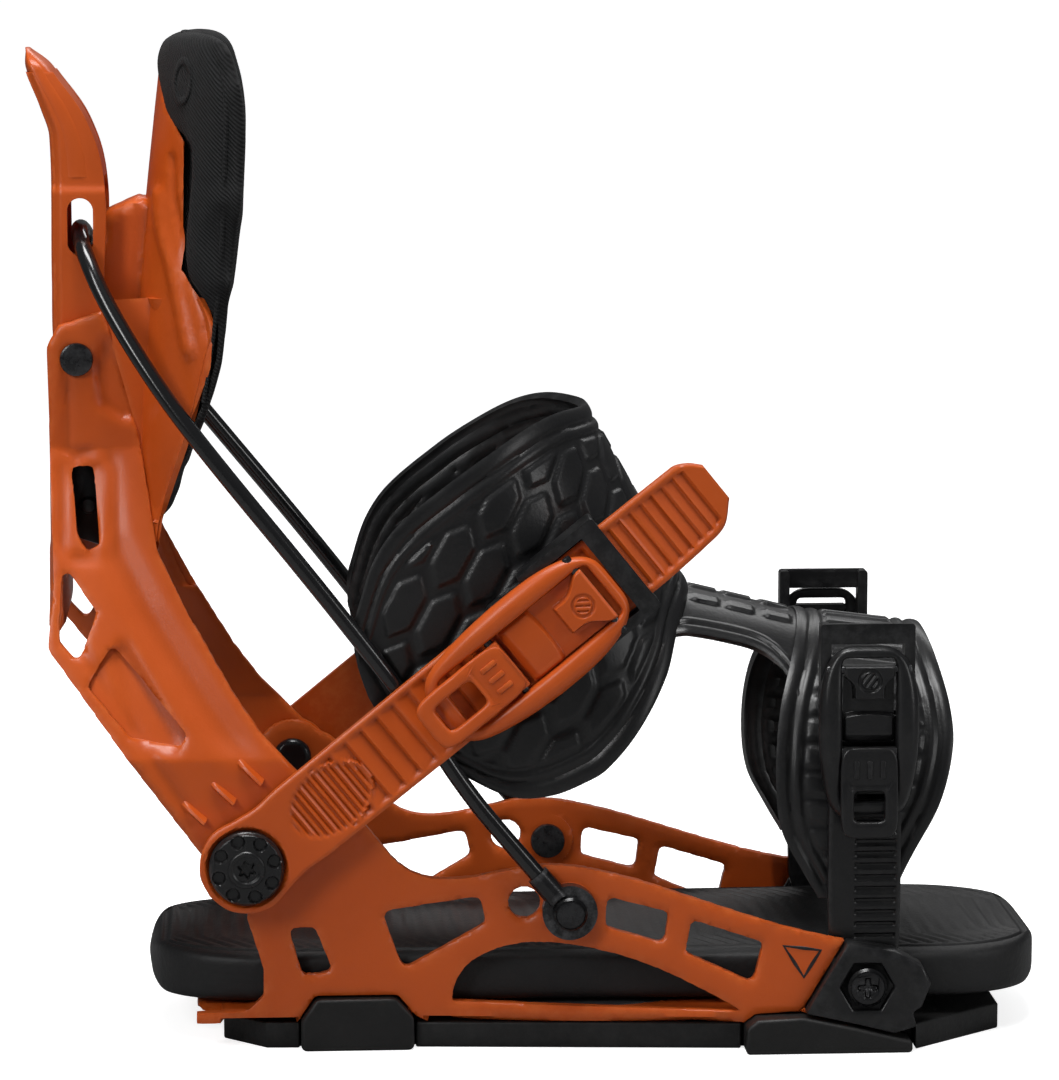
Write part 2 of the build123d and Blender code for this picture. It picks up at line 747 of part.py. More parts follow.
def cross_plane(face, along, height):
    """Plane square to the ladder's width, for pins and their bores."""
    return Plane(origin=face.from_local_coords((along, 0, height)), x_dir=face.x_dir, z_dir=face.y_dir)


def buckle(name, face, wall, start, length, across, block):
    """Base, frame, pins, ratchet lever and release tab of one kind of buckle."""
    low, high = across
    wide = -low
    end = start + length
    ratchet_pin = end - 7.5
    tab_pin = start + 0.38 * length
    tab_low = start - 5.5
    under = wall + block
    with BuildPart() as base:
        for edge in (-wide, wide - 3.4):
            rail = slab(face.offset(-under), (end - 24, end + 7), (edge, edge + 3.4), 1.2)
            extrude(rail, amount=under + 2.5)
        extrude(slab(face.offset(GAP), (end + 0.4, end + 7), (-wide, wide), 1.2), amount=2.5 - GAP)
        if block:
            foot = slab(face.offset(-under), (start + 32, end + 7), (3 - wide, wide - 3), 2)
            extrude(foot, amount=block - GAP)
    save_pair(base.part, name + "_buckle_base")
    with BuildPart() as frame:
        extrude(slab(face.offset(2.5), (start, end), across, 5), amount=4.5)
        opening = slab(face, (start + 6, end - 3.5), (low + 4, high - 4), 1.2)
        extrude(opening, amount=20, mode=Mode.SUBTRACT)
        for along in (ratchet_pin, tab_pin):
            with BuildSketch(cross_plane(face, along, 5.2)):
                Circle(BUCKLE_PIN_R)
            extrude(amount=60, both=True, mode=Mode.SUBTRACT)
    save_pair(frame.part, name + "_buckle")
    with BuildPart() as pins:
        for along in (ratchet_pin, tab_pin):
            with BuildSketch(cross_plane(face, along, 5.2).offset(low + 1.5)):
                Circle(BUCKLE_PIN_R)
            extrude(amount=high - low - 3)
        mirror(pins.part, about=Plane.XZ)
    save(pins.part, name + "_buckle_pins")
    inner = (low + 4 + GAP, high - 4 - GAP)
    middle = sum(inner) / 2
    with BuildPart() as ratchet:
        extrude(slab(face.offset(3.4), (tab_pin + 5, ratchet_pin + RATCHET_TAIL), inner, 1.2), amount=4.6)
        with BuildSketch(cross_plane(face, tab_pin + 14.5, 19.5)):
            Circle(13.6)
        extrude(amount=60, both=True, mode=Mode.SUBTRACT)
        with BuildSketch(cross_plane(face, ratchet_pin, 5.2)):
            Circle(BUCKLE_PIN_R + RUNNING)
        extrude(amount=60, both=True, mode=Mode.SUBTRACT)
    save_pair(ratchet.part, name + "_ratchet")
    with BuildPart() as tab:
        plate = slab(face.offset(7.3), (tab_low, tab_pin + 2.6), (middle - 9.5, middle + 9.5), 4)
        extrude(plate, amount=3.0)
        extrude(slab(face.offset(3.6), (tab_pin - 9, tab_pin + 2.6), inner, 1.2), amount=4.4)
        window = slab(face, (tab_low + 6, tab_pin - 11), (middle - 5.5, middle + 5.5), 2)
        extrude(window, amount=20, mode=Mode.SUBTRACT)
        with BuildSketch(cross_plane(face, tab_pin, 5.2)):
            Circle(BUCKLE_PIN_R + RUNNING)
        extrude(amount=60, both=True, mode=Mode.SUBTRACT)
    save_pair(tab.part, name + "_release")


buckle("ankle", ankle_face, LADDER_WALL, 80.0, 71.0, (-18.4, 15.6), LADDER_IN - ANKLE_R - 0.05)
buckle("toe", toe_face, TOE_LADDER_WALL, 55.0, 57.0, (-15.4, 15.4), 0)
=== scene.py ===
import json
import math

import bpy
from mathutils import Matrix, Vector


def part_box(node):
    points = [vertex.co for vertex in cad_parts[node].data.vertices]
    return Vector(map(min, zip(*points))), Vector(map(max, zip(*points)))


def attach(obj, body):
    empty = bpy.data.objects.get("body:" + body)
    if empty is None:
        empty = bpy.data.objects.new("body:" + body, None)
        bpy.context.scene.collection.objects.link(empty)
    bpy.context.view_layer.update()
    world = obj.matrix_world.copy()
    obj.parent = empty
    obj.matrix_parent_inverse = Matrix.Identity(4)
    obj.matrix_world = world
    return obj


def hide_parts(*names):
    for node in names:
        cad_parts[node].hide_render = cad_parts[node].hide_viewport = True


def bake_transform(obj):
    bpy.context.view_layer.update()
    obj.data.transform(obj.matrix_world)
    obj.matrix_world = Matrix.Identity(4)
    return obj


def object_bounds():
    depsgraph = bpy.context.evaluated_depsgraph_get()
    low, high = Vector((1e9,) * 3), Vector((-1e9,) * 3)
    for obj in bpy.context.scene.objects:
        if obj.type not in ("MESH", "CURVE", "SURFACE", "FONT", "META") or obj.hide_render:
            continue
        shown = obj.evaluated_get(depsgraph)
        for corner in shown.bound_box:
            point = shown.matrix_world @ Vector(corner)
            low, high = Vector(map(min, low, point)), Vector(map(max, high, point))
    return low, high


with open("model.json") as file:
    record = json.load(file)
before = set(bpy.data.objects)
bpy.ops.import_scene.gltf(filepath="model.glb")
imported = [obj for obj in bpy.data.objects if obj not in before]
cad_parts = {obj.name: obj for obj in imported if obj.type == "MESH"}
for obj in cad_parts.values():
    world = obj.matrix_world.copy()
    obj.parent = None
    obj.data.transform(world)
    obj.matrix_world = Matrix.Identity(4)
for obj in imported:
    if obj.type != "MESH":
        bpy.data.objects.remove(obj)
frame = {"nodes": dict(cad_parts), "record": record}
cad_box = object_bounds()
scene = bpy.context.scene
nodes = frame["nodes"]
body_of = {node: body for body, members in frame["record"]["behaviour"]["bodies"].items() for node in members}

# ---- camera ----
CAMERA_AT = (-0.1086, -1.5134, 0.3785)
CAMERA_TILT = 81.825
CAMERA_TURN = -3.485
lens = bpy.data.cameras.new("studio_camera")
lens.lens = 152.2
lens.sensor_width = 36.0
camera = bpy.data.objects.new("studio_camera", lens)
camera.location = CAMERA_AT
camera.rotation_euler = (math.radians(CAMERA_TILT), 0.0, math.radians(CAMERA_TURN))
scene.collection.objects.link(camera)
scene.camera = camera
scene.view_settings.view_transform = "Standard"


# ---- working habits: selection, modifiers, hand-in of a piece ----
def nothing_selected():
    if bpy.context.object and bpy.context.object.mode != "OBJECT":
        bpy.ops.object.mode_set(mode="OBJECT")
    bpy.ops.object.select_all(action="DESELECT")


def only(piece):
    nothing_selected()
    piece.select_set(True)
    bpy.context.view_layer.objects.active = piece


def all_open(piece):
    """Open a piece in edit mode with all of it picked."""
    only(piece)
    bpy.ops.object.mode_set(mode="EDIT")
    bpy.ops.mesh.select_all(action="SELECT")


def applied(piece, kind, **settings):
    """Add a modifier, set it and apply it."""
    only(piece)
    modifier = piece.modifiers.new(kind.lower(), kind)
    for name, value in settings.items():
        setattr(modifier, name, value)
    bpy.ops.object.modifier_apply(modifier=modifier.name)


def bevelled(piece, width, segments=2, angle=40, **settings):
    applied(piece, "BEVEL", width=width, segments=segments, limit_method="ANGLE",
            angle_limit=math.radians(angle), **settings)


def smooth(piece, angle=40):
    only(piece)
    bpy.ops.object.shade_smooth_by_angle(angle=math.radians(angle))


def hand_in(piece, slot, body, *replaced):
    """Give a piece its finish, its body and the CAD nodes that it stands for."""
    piece.data.materials.clear()
    piece.data.materials.append(FINISH[slot])
    if body:
        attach(piece, body)
    if replaced:
        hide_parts(*replaced)
    return piece


def mirrored(piece, name):
    """The left-hand piece, with its own mesh."""
    other = bpy.data.objects.new(name, piece.data.copy())
    scene.collection.objects.link(other)
    other.data.transform(Matrix.Diagonal((1, -1, 1, 1)))
    other.data.flip_normals()
    return other


def hand_in_pair(piece, slot, body, *replaced):
    """Hand in a right-hand piece after its mirror image, each with its own side's body and nodes."""
    for side, half in (("left", mirrored(piece, piece.name.replace("right", "left"))), ("right", piece)):
        hand_in(half, slot, body.replace("right", side), *(node.replace("right", side) for node in replaced))


# ---- node tools ----
def feed(tree, node, **inputs):
    """Give a node's named inputs numbers or other nodes' outputs."""
    for name, value in inputs.items():
        wire(tree, node.inputs[name.replace("_", " ")], value)
    return node


def put(tree, kind, **inputs):
    return feed(tree, tree.nodes.new(kind), **inputs)


def wire(tree, socket, value):
    if isinstance(value, bpy.types.NodeSocket):
        tree.links.new(value, socket)
    else:
        socket.default_value = value


def sum_up(tree, operation, *values):
    node = tree.nodes.new("ShaderNodeMath")
    node.operation = operation
    for socket, value in zip(node.inputs, values):
        wire(tree, socket, value)
    return node.outputs[0]


def times(tree, first, second):
    return sum_up(tree, "MULTIPLY", first, second)


def stretch(tree, value, low, high, to_low=0.0, to_high=1.0):
    node = put(tree, "ShaderNodeMapRange", Value=value)
    for name, number in zip(("From Min", "From Max", "To Min", "To Max"), (low, high, to_low, to_high)):
        node.inputs[name].default_value = number
    return node.outputs[0]


def blend_colour(tree, amount, first, second):
    node = tree.nodes.new("ShaderNodeMix")
    node.data_type = "RGBA"
    wire(tree, node.inputs[0], amount)
    wire(tree, node.inputs[6], first)
    wire(tree, node.inputs[7], second)
    return node.outputs[2]


def effect(name, inputs, outputs):
    """A node group with number inputs and outputs."""
    tree = bpy.data.node_groups.new(name, "ShaderNodeTree")
    for label, value in inputs.items():
        tree.interface.new_socket(label, in_out="INPUT", socket_type="NodeSocketFloat").default_value = value
    for label in outputs:
        tree.interface.new_socket(label, in_out="OUTPUT", socket_type="NodeSocketFloat")
    return tree, tree.nodes.new("NodeGroupInput").outputs, tree.nodes.new("NodeGroupOutput").inputs


def fresh_material(name):
    """A new material, its node tree and its surface shader."""
    material = bpy.data.materials.new(name)
    material.use_nodes = True
    return material, material.node_tree, material.node_tree.nodes["Principled BSDF"]


def use(tree, group, **inputs):
    node = tree.nodes.new("ShaderNodeGroup")
    node.node_tree = group
    return feed(tree, node, **inputs).outputs


# ---- effects shared by the finishes ----
grain, given, result = effect("moulded_grain", {"Size": 1.0, "Depth": 1.0}, ("Height", "Tone"))
spot = grain.nodes.new("ShaderNodeTexCoord").outputs["Object"]
fine = put(grain, "ShaderNodeTexNoise", Vector=spot, Detail=4.0, Roughness=0.6,
           Scale=sum_up(grain, "DIVIDE", 1500.0, given["Size"]))
pits = put(grain, "ShaderNodeTexVoronoi", Vector=spot, Scale=sum_up(grain, "DIVIDE", 900.0, given["Size"]))
broad = put(grain, "ShaderNodeTexNoise", Vector=spot, Scale=26.0, Detail=5.0, Roughness=0.55)
rough = sum_up(grain, "ADD", fine.outputs[0], times(grain, pits.outputs[0], 0.4))
wire(grain, result["Height"], times(grain, rough, given["Depth"]))
wire(grain, result["Tone"], stretch(grain, broad.outputs[0], 0.3, 0.7))

# edge wear on convex edges, and painted shade in concave hollows, both from pointiness
wear_and_shade, given, result = effect("edge_wear", {"Amount": 1.0}, ("Mask", "Painted_Hollow_Shade"))
curve = wear_and_shade.nodes.new("ShaderNodeNewGeometry").outputs["Pointiness"]
spot = wear_and_shade.nodes.new("ShaderNodeTexCoord").outputs["Object"]
chips = put(wear_and_shade, "ShaderNodeTexNoise", Vector=spot, Scale=240.0, Detail=6.0, Roughness=0.7)
ridge = stretch(wear_and_shade, curve, 0.505, 0.56)
chipped = times(wear_and_shade, ridge, stretch(wear_and_shade, chips.outputs[0], 0.42, 0.62))
wire(wear_and_shade, result["Mask"], times(wear_and_shade, chipped, given["Amount"]))
wire(wear_and_shade, result["Painted_Hollow_Shade"], stretch(wear_and_shade, curve, 0.40, 0.497, 1.0, 0.0))

dust, given, result = effect("settled_dust", {"Amount": 1.0}, ("Mask",))
facing = put(dust, "ShaderNodeSeparateXYZ", Vector=dust.nodes.new("ShaderNodeNewGeometry").outputs["Normal"])
spot = dust.nodes.new("ShaderNodeTexCoord").outputs["Object"]
drift = put(dust, "ShaderNodeTexNoise", Vector=spot, Scale=70.0, Detail=8.0, Roughness=0.7)
specks = put(dust, "ShaderNodeTexNoise", Vector=spot, Scale=900.0, Detail=2.0)
fallen = times(dust, stretch(dust, facing.outputs[2], 0.0, 1.0, 0.25, 1.0),
                stretch(dust, drift.outputs[0], 0.45, 0.75))
speckled = times(dust, fallen, stretch(dust, specks.outputs[0], 0.35, 0.6))
wire(dust, result["Mask"], times(dust, speckled, given["Amount"]))


# ---- finishes ----
DUST_COLOUR = (0.35, 0.33, 0.30, 1.0)
# painted shade in hollows: this share of the deep colour
PAINTED_SHADE_SHARE = 0.42
FINISH = {}


def finish_material(slot, colour, deep, worn, roughness, grain_size, grain_depth, wear_amount=0.5,
                    dust_amount=0.06, coat=0.0, metallic=0.0, specular=0.5):
    """A moulded or coated surface: grained, a little uneven in tone, worn at its edges, dusty, and darkened in
    its hollows with painted shade.
    """
    FINISH[slot], tree, shader = fresh_material(slot)
    skin = use(tree, grain, Size=grain_size, Depth=1.0)
    shape = use(tree, wear_and_shade, Amount=wear_amount)
    edge = shape["Mask"]
    film = use(tree, dust, Amount=dust_amount)["Mask"]
    body = blend_colour(tree, skin["Tone"], (*deep, 1.0), (*colour, 1.0))
    # painted shade: concave hollows are darkened towards a darker deep colour
    body = blend_colour(tree, shape["Painted_Hollow_Shade"], body, (*(PAINTED_SHADE_SHARE * part for part in deep), 1.0))
    body = blend_colour(tree, edge, body, (*worn, 1.0))
    body = blend_colour(tree, film, body, DUST_COLOUR)
    gloss = sum_up(tree, "ADD", stretch(tree, skin["Tone"], 0.0, 1.0, roughness - 0.05, roughness + 0.05),
                   times(tree, film, 0.35))
    bump = put(tree, "ShaderNodeBump", Height=skin["Height"], Strength=grain_depth, Distance=0.0003)
    feed(tree, shader, Base_Color=body, Roughness=gloss, Normal=bump.outputs[0], Metallic=metallic,
         Specular_IOR_Level=specular, Coat_Weight=coat, Coat_Roughness=0.25)


finish_material("orange", (0.56, 0.090, 0.010), (0.50, 0.076, 0.008), (0.68, 0.17, 0.04), 0.36, 1.0, 0.12,
                wear_amount=0.30, dust_amount=0.02, coat=0.08, specular=0.35)
finish_material("black_plastic", (0.0085, 0.0085, 0.009), (0.005, 0.005, 0.0055), (0.035, 0.035, 0.036),
                0.30, 1.2, 0.16, coat=0.06, specular=0.38)
finish_material("black_steel", (0.012, 0.012, 0.013), (0.007, 0.007, 0.008), (0.12, 0.12, 0.125),
                0.22, 0.7, 0.10, metallic=0.3)
finish_material("cable_coat", (0.006, 0.006, 0.0065), (0.004, 0.004, 0.0045), (0.012, 0.012, 0.012),
                0.16, 0.8, 0.04, wear_amount=0.1, dust_amount=0.0, coat=0.2)
finish_material("strap_rubber", (0.0095, 0.0095, 0.010), (0.006, 0.006, 0.0065), (0.030, 0.030, 0.031),
                0.34, 1.4, 0.16, specular=0.42)
finish_material("sole_rubber", (0.010, 0.010, 0.010), (0.006, 0.006, 0.006), (0.025, 0.025, 0.025),
                0.48, 1.6, 0.40, dust_amount=0.05, specular=0.35)
finish_material("footbed_foam", (0.012, 0.012, 0.0125), (0.007, 0.007, 0.0075), (0.030, 0.030, 0.030),
                0.52, 2.2, 0.5, dust_amount=0.05, specular=0.35)
finish_material("disc_plastic", (0.030, 0.030, 0.031), (0.020, 0.020, 0.021), (0.08, 0.08, 0.08),
                0.5, 1.6, 0.35)

# ---- woven twill of the calf pad: slanted lines that follow the pad round the leg ----
THREADS_PER_CORD = 2.6
twill, given, result = effect("twill_weave", {"Pitch": 0.0014, "Centre": -0.096, "Radius": 0.052},
                              ("Height", "Tone"))
spot = put(twill, "ShaderNodeSeparateXYZ", Vector=twill.nodes.new("ShaderNodeTexCoord").outputs["Object"])
back = sum_up(twill, "SUBTRACT", given["Centre"], spot.outputs[0])
arc = times(twill, sum_up(twill, "ARCTAN2", spot.outputs[1], back), given["Radius"])
away = sum_up(twill, "ABSOLUTE", arc)
turns = sum_up(twill, "DIVIDE", 2 * math.pi, given["Pitch"])
lean_line = sum_up(twill, "ADD", times(twill, away, 0.9), spot.outputs[2])
cross_line = sum_up(twill, "SUBTRACT", times(twill, away, 1.1), spot.outputs[2])
cord_wave = sum_up(twill, "SINE", times(twill, lean_line, turns))
thread_wave = sum_up(twill, "SINE", times(twill, cross_line, times(twill, turns, THREADS_PER_CORD)))
weave = sum_up(twill, "ADD", cord_wave, times(twill, thread_wave, 0.35))
wire(twill, result["Height"], stretch(twill, weave, -1.35, 1.35))
wire(twill, result["Tone"], stretch(twill, weave, -1.35, 1.35))

FINISH["pad_fabric"], tree, shader = fresh_material("pad_fabric")
yarn = use(tree, twill)
fuzz = use(tree, grain, Size=1.0, Depth=1.0)
shade = blend_colour(tree, yarn["Tone"], (0.0022, 0.0022, 0.0025, 1.0), (0.017, 0.017, 0.0175, 1.0))
shade = blend_colour(tree, times(tree, fuzz["Tone"], 0.35), shade, (0.010, 0.010, 0.0105, 1.0))
cloth_height = sum_up(tree, "ADD", yarn["Height"], times(tree, fuzz["Height"], 0.3))
cloth_bump = put(tree, "ShaderNodeBump", Height=cloth_height, Strength=0.7, Distance=0.0005)
feed(tree, shader, Base_Color=shade, Roughness=stretch(tree, fuzz["Tone"], 0.0, 1.0, 0.72, 0.9),
     Normal=cloth_bump.outputs[0], Specular_IOR_Level=0.25, Sheen_Weight=0.04, Sheen_Roughness=0.4)

# ---- floor, backdrop and lights ----
nothing_selected()
bpy.ops.mesh.primitive_grid_add(x_subdivisions=2, y_subdivisions=48, size=1.0)
backdrop = bpy.context.object
backdrop.name = "studio_sweep"
FLOOR_NEAR, FLOOR_FAR, SWEEP_R, WALL_TOP = -3.0, 1.6, 1.2, 3.4
for vertex in backdrop.data.vertices:
    along = vertex.co.y + 0.5
    reach = along * (FLOOR_FAR - FLOOR_NEAR + math.pi * SWEEP_R / 2 + WALL_TOP)
    flat = FLOOR_FAR - FLOOR_NEAR
    turned = min(max(reach - flat, 0.0) / SWEEP_R, math.pi / 2)
    risen = max(reach - flat - math.pi * SWEEP_R / 2, 0.0)
    vertex.co = (vertex.co.x * 8.0, FLOOR_NEAR + min(reach, flat) + SWEEP_R * math.sin(turned),
                 cad_box[0][2] + SWEEP_R * (1 - math.cos(turned)) + risen)
smooth(backdrop, 60)
paper, tree, shader = fresh_material("pale_paper")
mottle = put(tree, "ShaderNodeTexNoise", Scale=3.0, Detail=3.0,
             Vector=tree.nodes.new("ShaderNodeTexCoord").outputs["Object"])
seen = tree.nodes.new("ShaderNodeLightPath").outputs["Is Camera Ray"]
pale = blend_colour(tree, mottle.outputs[0], (0.86, 0.86, 0.86, 1.0), (0.90, 0.90, 0.90, 1.0))
feed(tree, shader, Base_Color=blend_colour(tree, seen, (0.30, 0.30, 0.30, 1.0), pale), Roughness=0.9,
     Emission_Color=(1.0, 1.0, 1.0, 1.0), Emission_Strength=times(tree, seen, 0.78))
backdrop.data.materials.append(paper)

world = bpy.data.worlds.new("studio_room")
scene.world = world
world.use_nodes = True
world.node_tree.nodes["Background"].inputs[0].default_value = (0.95, 0.97, 1.0, 1.0)
world.node_tree.nodes["Background"].inputs[1].default_value = 0.14


def softbox(name, place, aim, size, power):
    lamp = bpy.data.lights.new(name, "AREA")
    lamp.shape = "RECTANGLE"
    lamp.size, lamp.size_y = size
    lamp.energy = power
    holder = bpy.data.objects.new(name, lamp)
    holder.location = place
    holder.rotation_euler = (Vector(aim) - Vector(place)).to_track_quat("-Z", "Y").to_euler()
    scene.collection.objects.link(holder)


softbox("top_softbox", (-0.15, -0.25, 1.45), (0.0, 0.0, 0.12), (0.7, 0.45), 17.0)
softbox("key_softbox", (-0.95, -1.15, 0.95), (0.0, 0.0, 0.15), (0.30, 0.8), 9.5)
softbox("fill_softbox", (1.25, -0.85, 0.55), (0.0, 0.0, 0.15), (0.25, 0.8), 3.6)
softbox("back_softbox", (0.3, 1.2, 1.1), (0.0, 0.0, 0.15), (1.2, 0.3), 5.0)



def tube(name, places, radius, order, roundness):
    """A capped tube along a smooth line that is drawn by its places, in metres."""
    line = bpy.data.curves.new(name, "CURVE")
    line.dimensions = "3D"
    spline = line.splines.new("NURBS")
    spline.points.add(len(places) - 1)
    for point, place in zip(spline.points, places):
        point.co = (*place, 1.0)
    spline.order_u = order
    spline.use_endpoint_u = True
    spline.resolution_u = 12
    line.bevel_depth = radius
    line.bevel_resolution = roundness
    line.use_fill_caps = True
    piece = bpy.data.objects.new(name, line)
    scene.collection.objects.link(piece)
    return piece


# ---- cable: one loop from rail to rail through the lever's slots ----
CABLE_D = 0.0056
half_route = [
    (-0.0124, -0.0611, 0.0533), (-0.024, -0.0598, 0.0668), (-0.041, -0.0576, 0.087),
    (-0.057, -0.0566, 0.113), (-0.088, -0.0556, 0.1535), (-0.121, -0.0526, 0.194),
    (-0.139, -0.0445, 0.217), (-0.1555, -0.034, 0.243), (-0.1625, -0.0265, 0.2585),
    (-0.1652, -0.0135, 0.266),
]
route = half_route + [(x, -y, z) for x, y, z in reversed(half_route)]
cable = tube("release_cable", route, CABLE_D / 2, 3, 6)
hand_in(cable, "cable_coat", "cable_loop", "cable")


# ---- hard parts: merged copies of the CAD shapes with softened edges ----
SLIVER = 0.00015            # cuts nearer than this are one cut
DOUBLES = 0.00002           # points nearer than this are one point
FLAT = 0.6                  # faces within this angle are one face


def opened_copy(node, name):
    """A copy of a CAD node with its doubles merged, left open in edit mode."""
    piece = bpy.data.objects.new(name, nodes[node].data.copy())
    scene.collection.objects.link(piece)
    only(piece)
    bpy.ops.mesh.customdata_custom_splitnormals_clear()
    all_open(piece)
    bpy.ops.mesh.remove_doubles(threshold=DOUBLES)
    return piece


def moulded_copy(node, slot, softness, segments, clamp):
    piece = opened_copy(node, node + "_finished")
    bpy.ops.mesh.dissolve_limited(angle_limit=math.radians(FLAT))
    bpy.ops.object.mode_set(mode="OBJECT")
    bevelled(piece, softness, segments, 35, use_clamp_overlap=clamp, harden_normals=False)
    smooth(piece, 38)
    return hand_in(piece, slot, body_of[node], node)


# ---- formed parts: a grid whose points are placed one by one, then given a wall or a back ----
MM = 0.001


def read(table, at):
    """Smoothly interpolated value from a table of (place, value) pairs."""
    at = min(max(at, table[0][0]), table[-1][0])
    k = next(i for i in range(1, len(table)) if at <= table[i][0])

    def slope(i):
        before, after = table[max(i - 1, 0)], table[min(i + 1, len(table) - 1)]
        return (after[1] - before[1]) / (after[0] - before[0])

    (a, first), (b, last) = table[k - 1], table[k]
    span = b - a
    w = (at - a) / span
    return (first * (1 + 2 * w) * (1 - w) ** 2 + slope(k - 1) * span * w * (1 - w) ** 2
            + last * w * w * (3 - 2 * w) + slope(k) * span * w * w * (w - 1))


def ease(value, low, high):
    w = min(max((value - low) / (high - low), 0.0), 1.0)
    return w * w * (3 - 2 * w)


def bump_over(value, low, high):
    """A rounded ridge between two places, 1 at its middle."""
    w = (2 * value - low - high) / (high - low)
    return math.sqrt(1 - w * w) if abs(w) < 1 else 0.0


def formed(name, columns, rows, place):
    """A grid in millimetres; place(u, v) gives each point, with u and v from 0 to 1."""
    nothing_selected()
    bpy.ops.mesh.primitive_grid_add(x_subdivisions=columns, y_subdivisions=rows, size=1.0)
    piece = bpy.context.object
    piece.name = name
    for vertex in piece.data.vertices:
        vertex.co = Vector(place(vertex.co.x + 0.5, vertex.co.y + 0.5)) * MM
    return piece


def joined_up(piece, inside, distance=0.02):
    """Merge the doubles and turn the faces away from a point inside the piece."""
    all_open(piece)
    bpy.ops.mesh.remove_doubles(threshold=distance * MM)
    bpy.ops.mesh.normals_make_consistent(inside=False)
    bpy.ops.object.mode_set(mode="OBJECT")
    middle = Vector(inside) * MM
    turned = sum(face.normal.dot(face.center - middle) * face.area for face in piece.data.polygons)
    if turned < 0:
        piece.data.flip_normals()
    return piece


def backed(piece, flatten):
    """Close a formed face with side walls and a plain back; flatten moves a rim point to the back."""
    only(piece)
    bpy.ops.object.mode_set(mode="EDIT")
    bpy.ops.mesh.select_mode(type="EDGE")
    bpy.ops.mesh.select_all(action="DESELECT")
    bpy.ops.mesh.select_non_manifold()
    bpy.ops.mesh.extrude_region_move()
    bpy.ops.object.mode_set(mode="OBJECT")
    for vertex in piece.data.vertices:
        if vertex.select:
            vertex.co = Vector(flatten(vertex.co / MM)) * MM
    bpy.ops.object.mode_set(mode="EDIT")
    bpy.ops.mesh.edge_face_add()
    bpy.ops.mesh.select_mode(type="VERT")
    bpy.ops.mesh.select_all(action="SELECT")
    bpy.ops.mesh.normals_make_consistent(inside=False)
    bpy.ops.object.mode_set(mode="OBJECT")
    return piece


# ---- straps: moulded arches with one wall thickness ----
def strap(name, columns, rows, point, inside, body, node):
    piece = formed(name, columns, rows, point)
    joined_up(piece, inside)
    applied(piece, "SOLIDIFY", thickness=0.003, offset=-1.0)
    smooth(piece, 50)
    return hand_in(piece, "strap_rubber", body, node)


# ---- ankle strap: raised cells and rolled rims ----
ARCH_R = 53.0
ARCH_CROWN = (3.0, 207.0)
ARCH_RUN = (0.4863, -0.8738)
ARCH_DROP = (-0.8738, -0.4863)
ARCH_QUARTER = ARCH_R * math.pi / 2
ARCH_REACH = ARCH_QUARTER + 56.3
ankle_rear = [(0, -1), (10, -6), (21, -8), (38, -7.5), (53, -6), (74, -2), (86, 4), (97, 14), (103, 21),
              (107.5, 32), (109.3, 42)]
ankle_front = [(0, 70), (10, 76), (21, 86), (38, 96), (53, 101.5), (60, 102), (74, 100), (86, 93), (97, 77),
               (103, 67), (107.5, 57), (109.3, 50)]


def cell(along, across, length, width):
    """How far inside its elongated six-sided cell a point is, 0 at the edge."""
    x, y = across / width, along / length
    best = None
    for shift in (0.0, 0.5):
        gx = (x - shift) % 1.0 - 0.5
        gy = (y - shift * math.sqrt(3)) % math.sqrt(3) - math.sqrt(3) / 2
        if best is None or gx * gx + gy * gy < best[0] ** 2 + best[1] ** 2:
            best = (gx, gy)
    gx, gy = abs(best[0]), abs(best[1])
    return 0.5 - max(gx, 0.5 * gx + 0.866 * gy)


def arch_point(bow, s, rise, radius, crown, run, drop):
    """A point on an arch: bow is the way round from the crown, s along it, rise above its surface."""
    quarter = radius * math.pi / 2
    turn = min(abs(bow), quarter) / radius
    leg = max(abs(bow) - quarter, 0.0)
    level = radius - (radius + rise) * math.cos(turn) + leg
    y = (radius + rise) * math.sin(turn) * math.copysign(1.0, bow)
    return crown[0] + s * run[0] + level * drop[0], y, crown[1] + s * run[1] + level * drop[1]


def arch_depth(bow, radius):
    quarter = radius * math.pi / 2
    return radius - radius * math.cos(min(abs(bow), quarter) / radius) + max(abs(bow) - quarter, 0.0)


def ankle_point(u, v):
    bow = (u - 0.5) * 2 * ARCH_REACH
    depth = arch_depth(bow, ARCH_R)
    rear, front = read(ankle_rear, depth), read(ankle_front, depth)
    s = rear + (front - rear) * v
    edge = min(s - rear, front - s, ARCH_REACH - abs(bow))
    rim = 0.95 * bump_over(edge, -0.6, 5.4) + 0.75 * bump_over(edge, 6.4, 9.8)
    slant = -0.54 * s - 0.84 * abs(bow)
    cross = 0.84 * s - 0.54 * abs(bow)
    tile = 0.95 * ease(cell(slant, cross, 25.0, 12.5), 0.07, 0.14) * ease(edge, 10.6, 12.4)
    return arch_point(bow, s, max(rim, tile) - 1.0, ARCH_R, ARCH_CROWN, ARCH_RUN, ARCH_DROP)


strap("ankle_strap_shell", 300, 112, ankle_point, (-60, 0, 100), "ankle_part", "ankle_strap")

# ---- toe strap: a narrower arch with ribs across it ----
TOE_R = 54.7
TOE_CROWN = (56.0, 139.2)
TOE_RUN = (0.9925, -0.1219)
TOE_DROP = (-0.1219, -0.9925)
TOE_REACH = TOE_R * math.pi / 2 + 32.5
toe_rear = [(0, 17.2), (12.6, 13.6), (28, 10.5), (48, 11), (66, 15.1), (79, 23.8), (87, 30)]
toe_front = [(0, 60), (6, 62.3), (21, 67), (33, 68.5), (52, 65.8), (70, 59), (79, 56), (87, 54.5)]


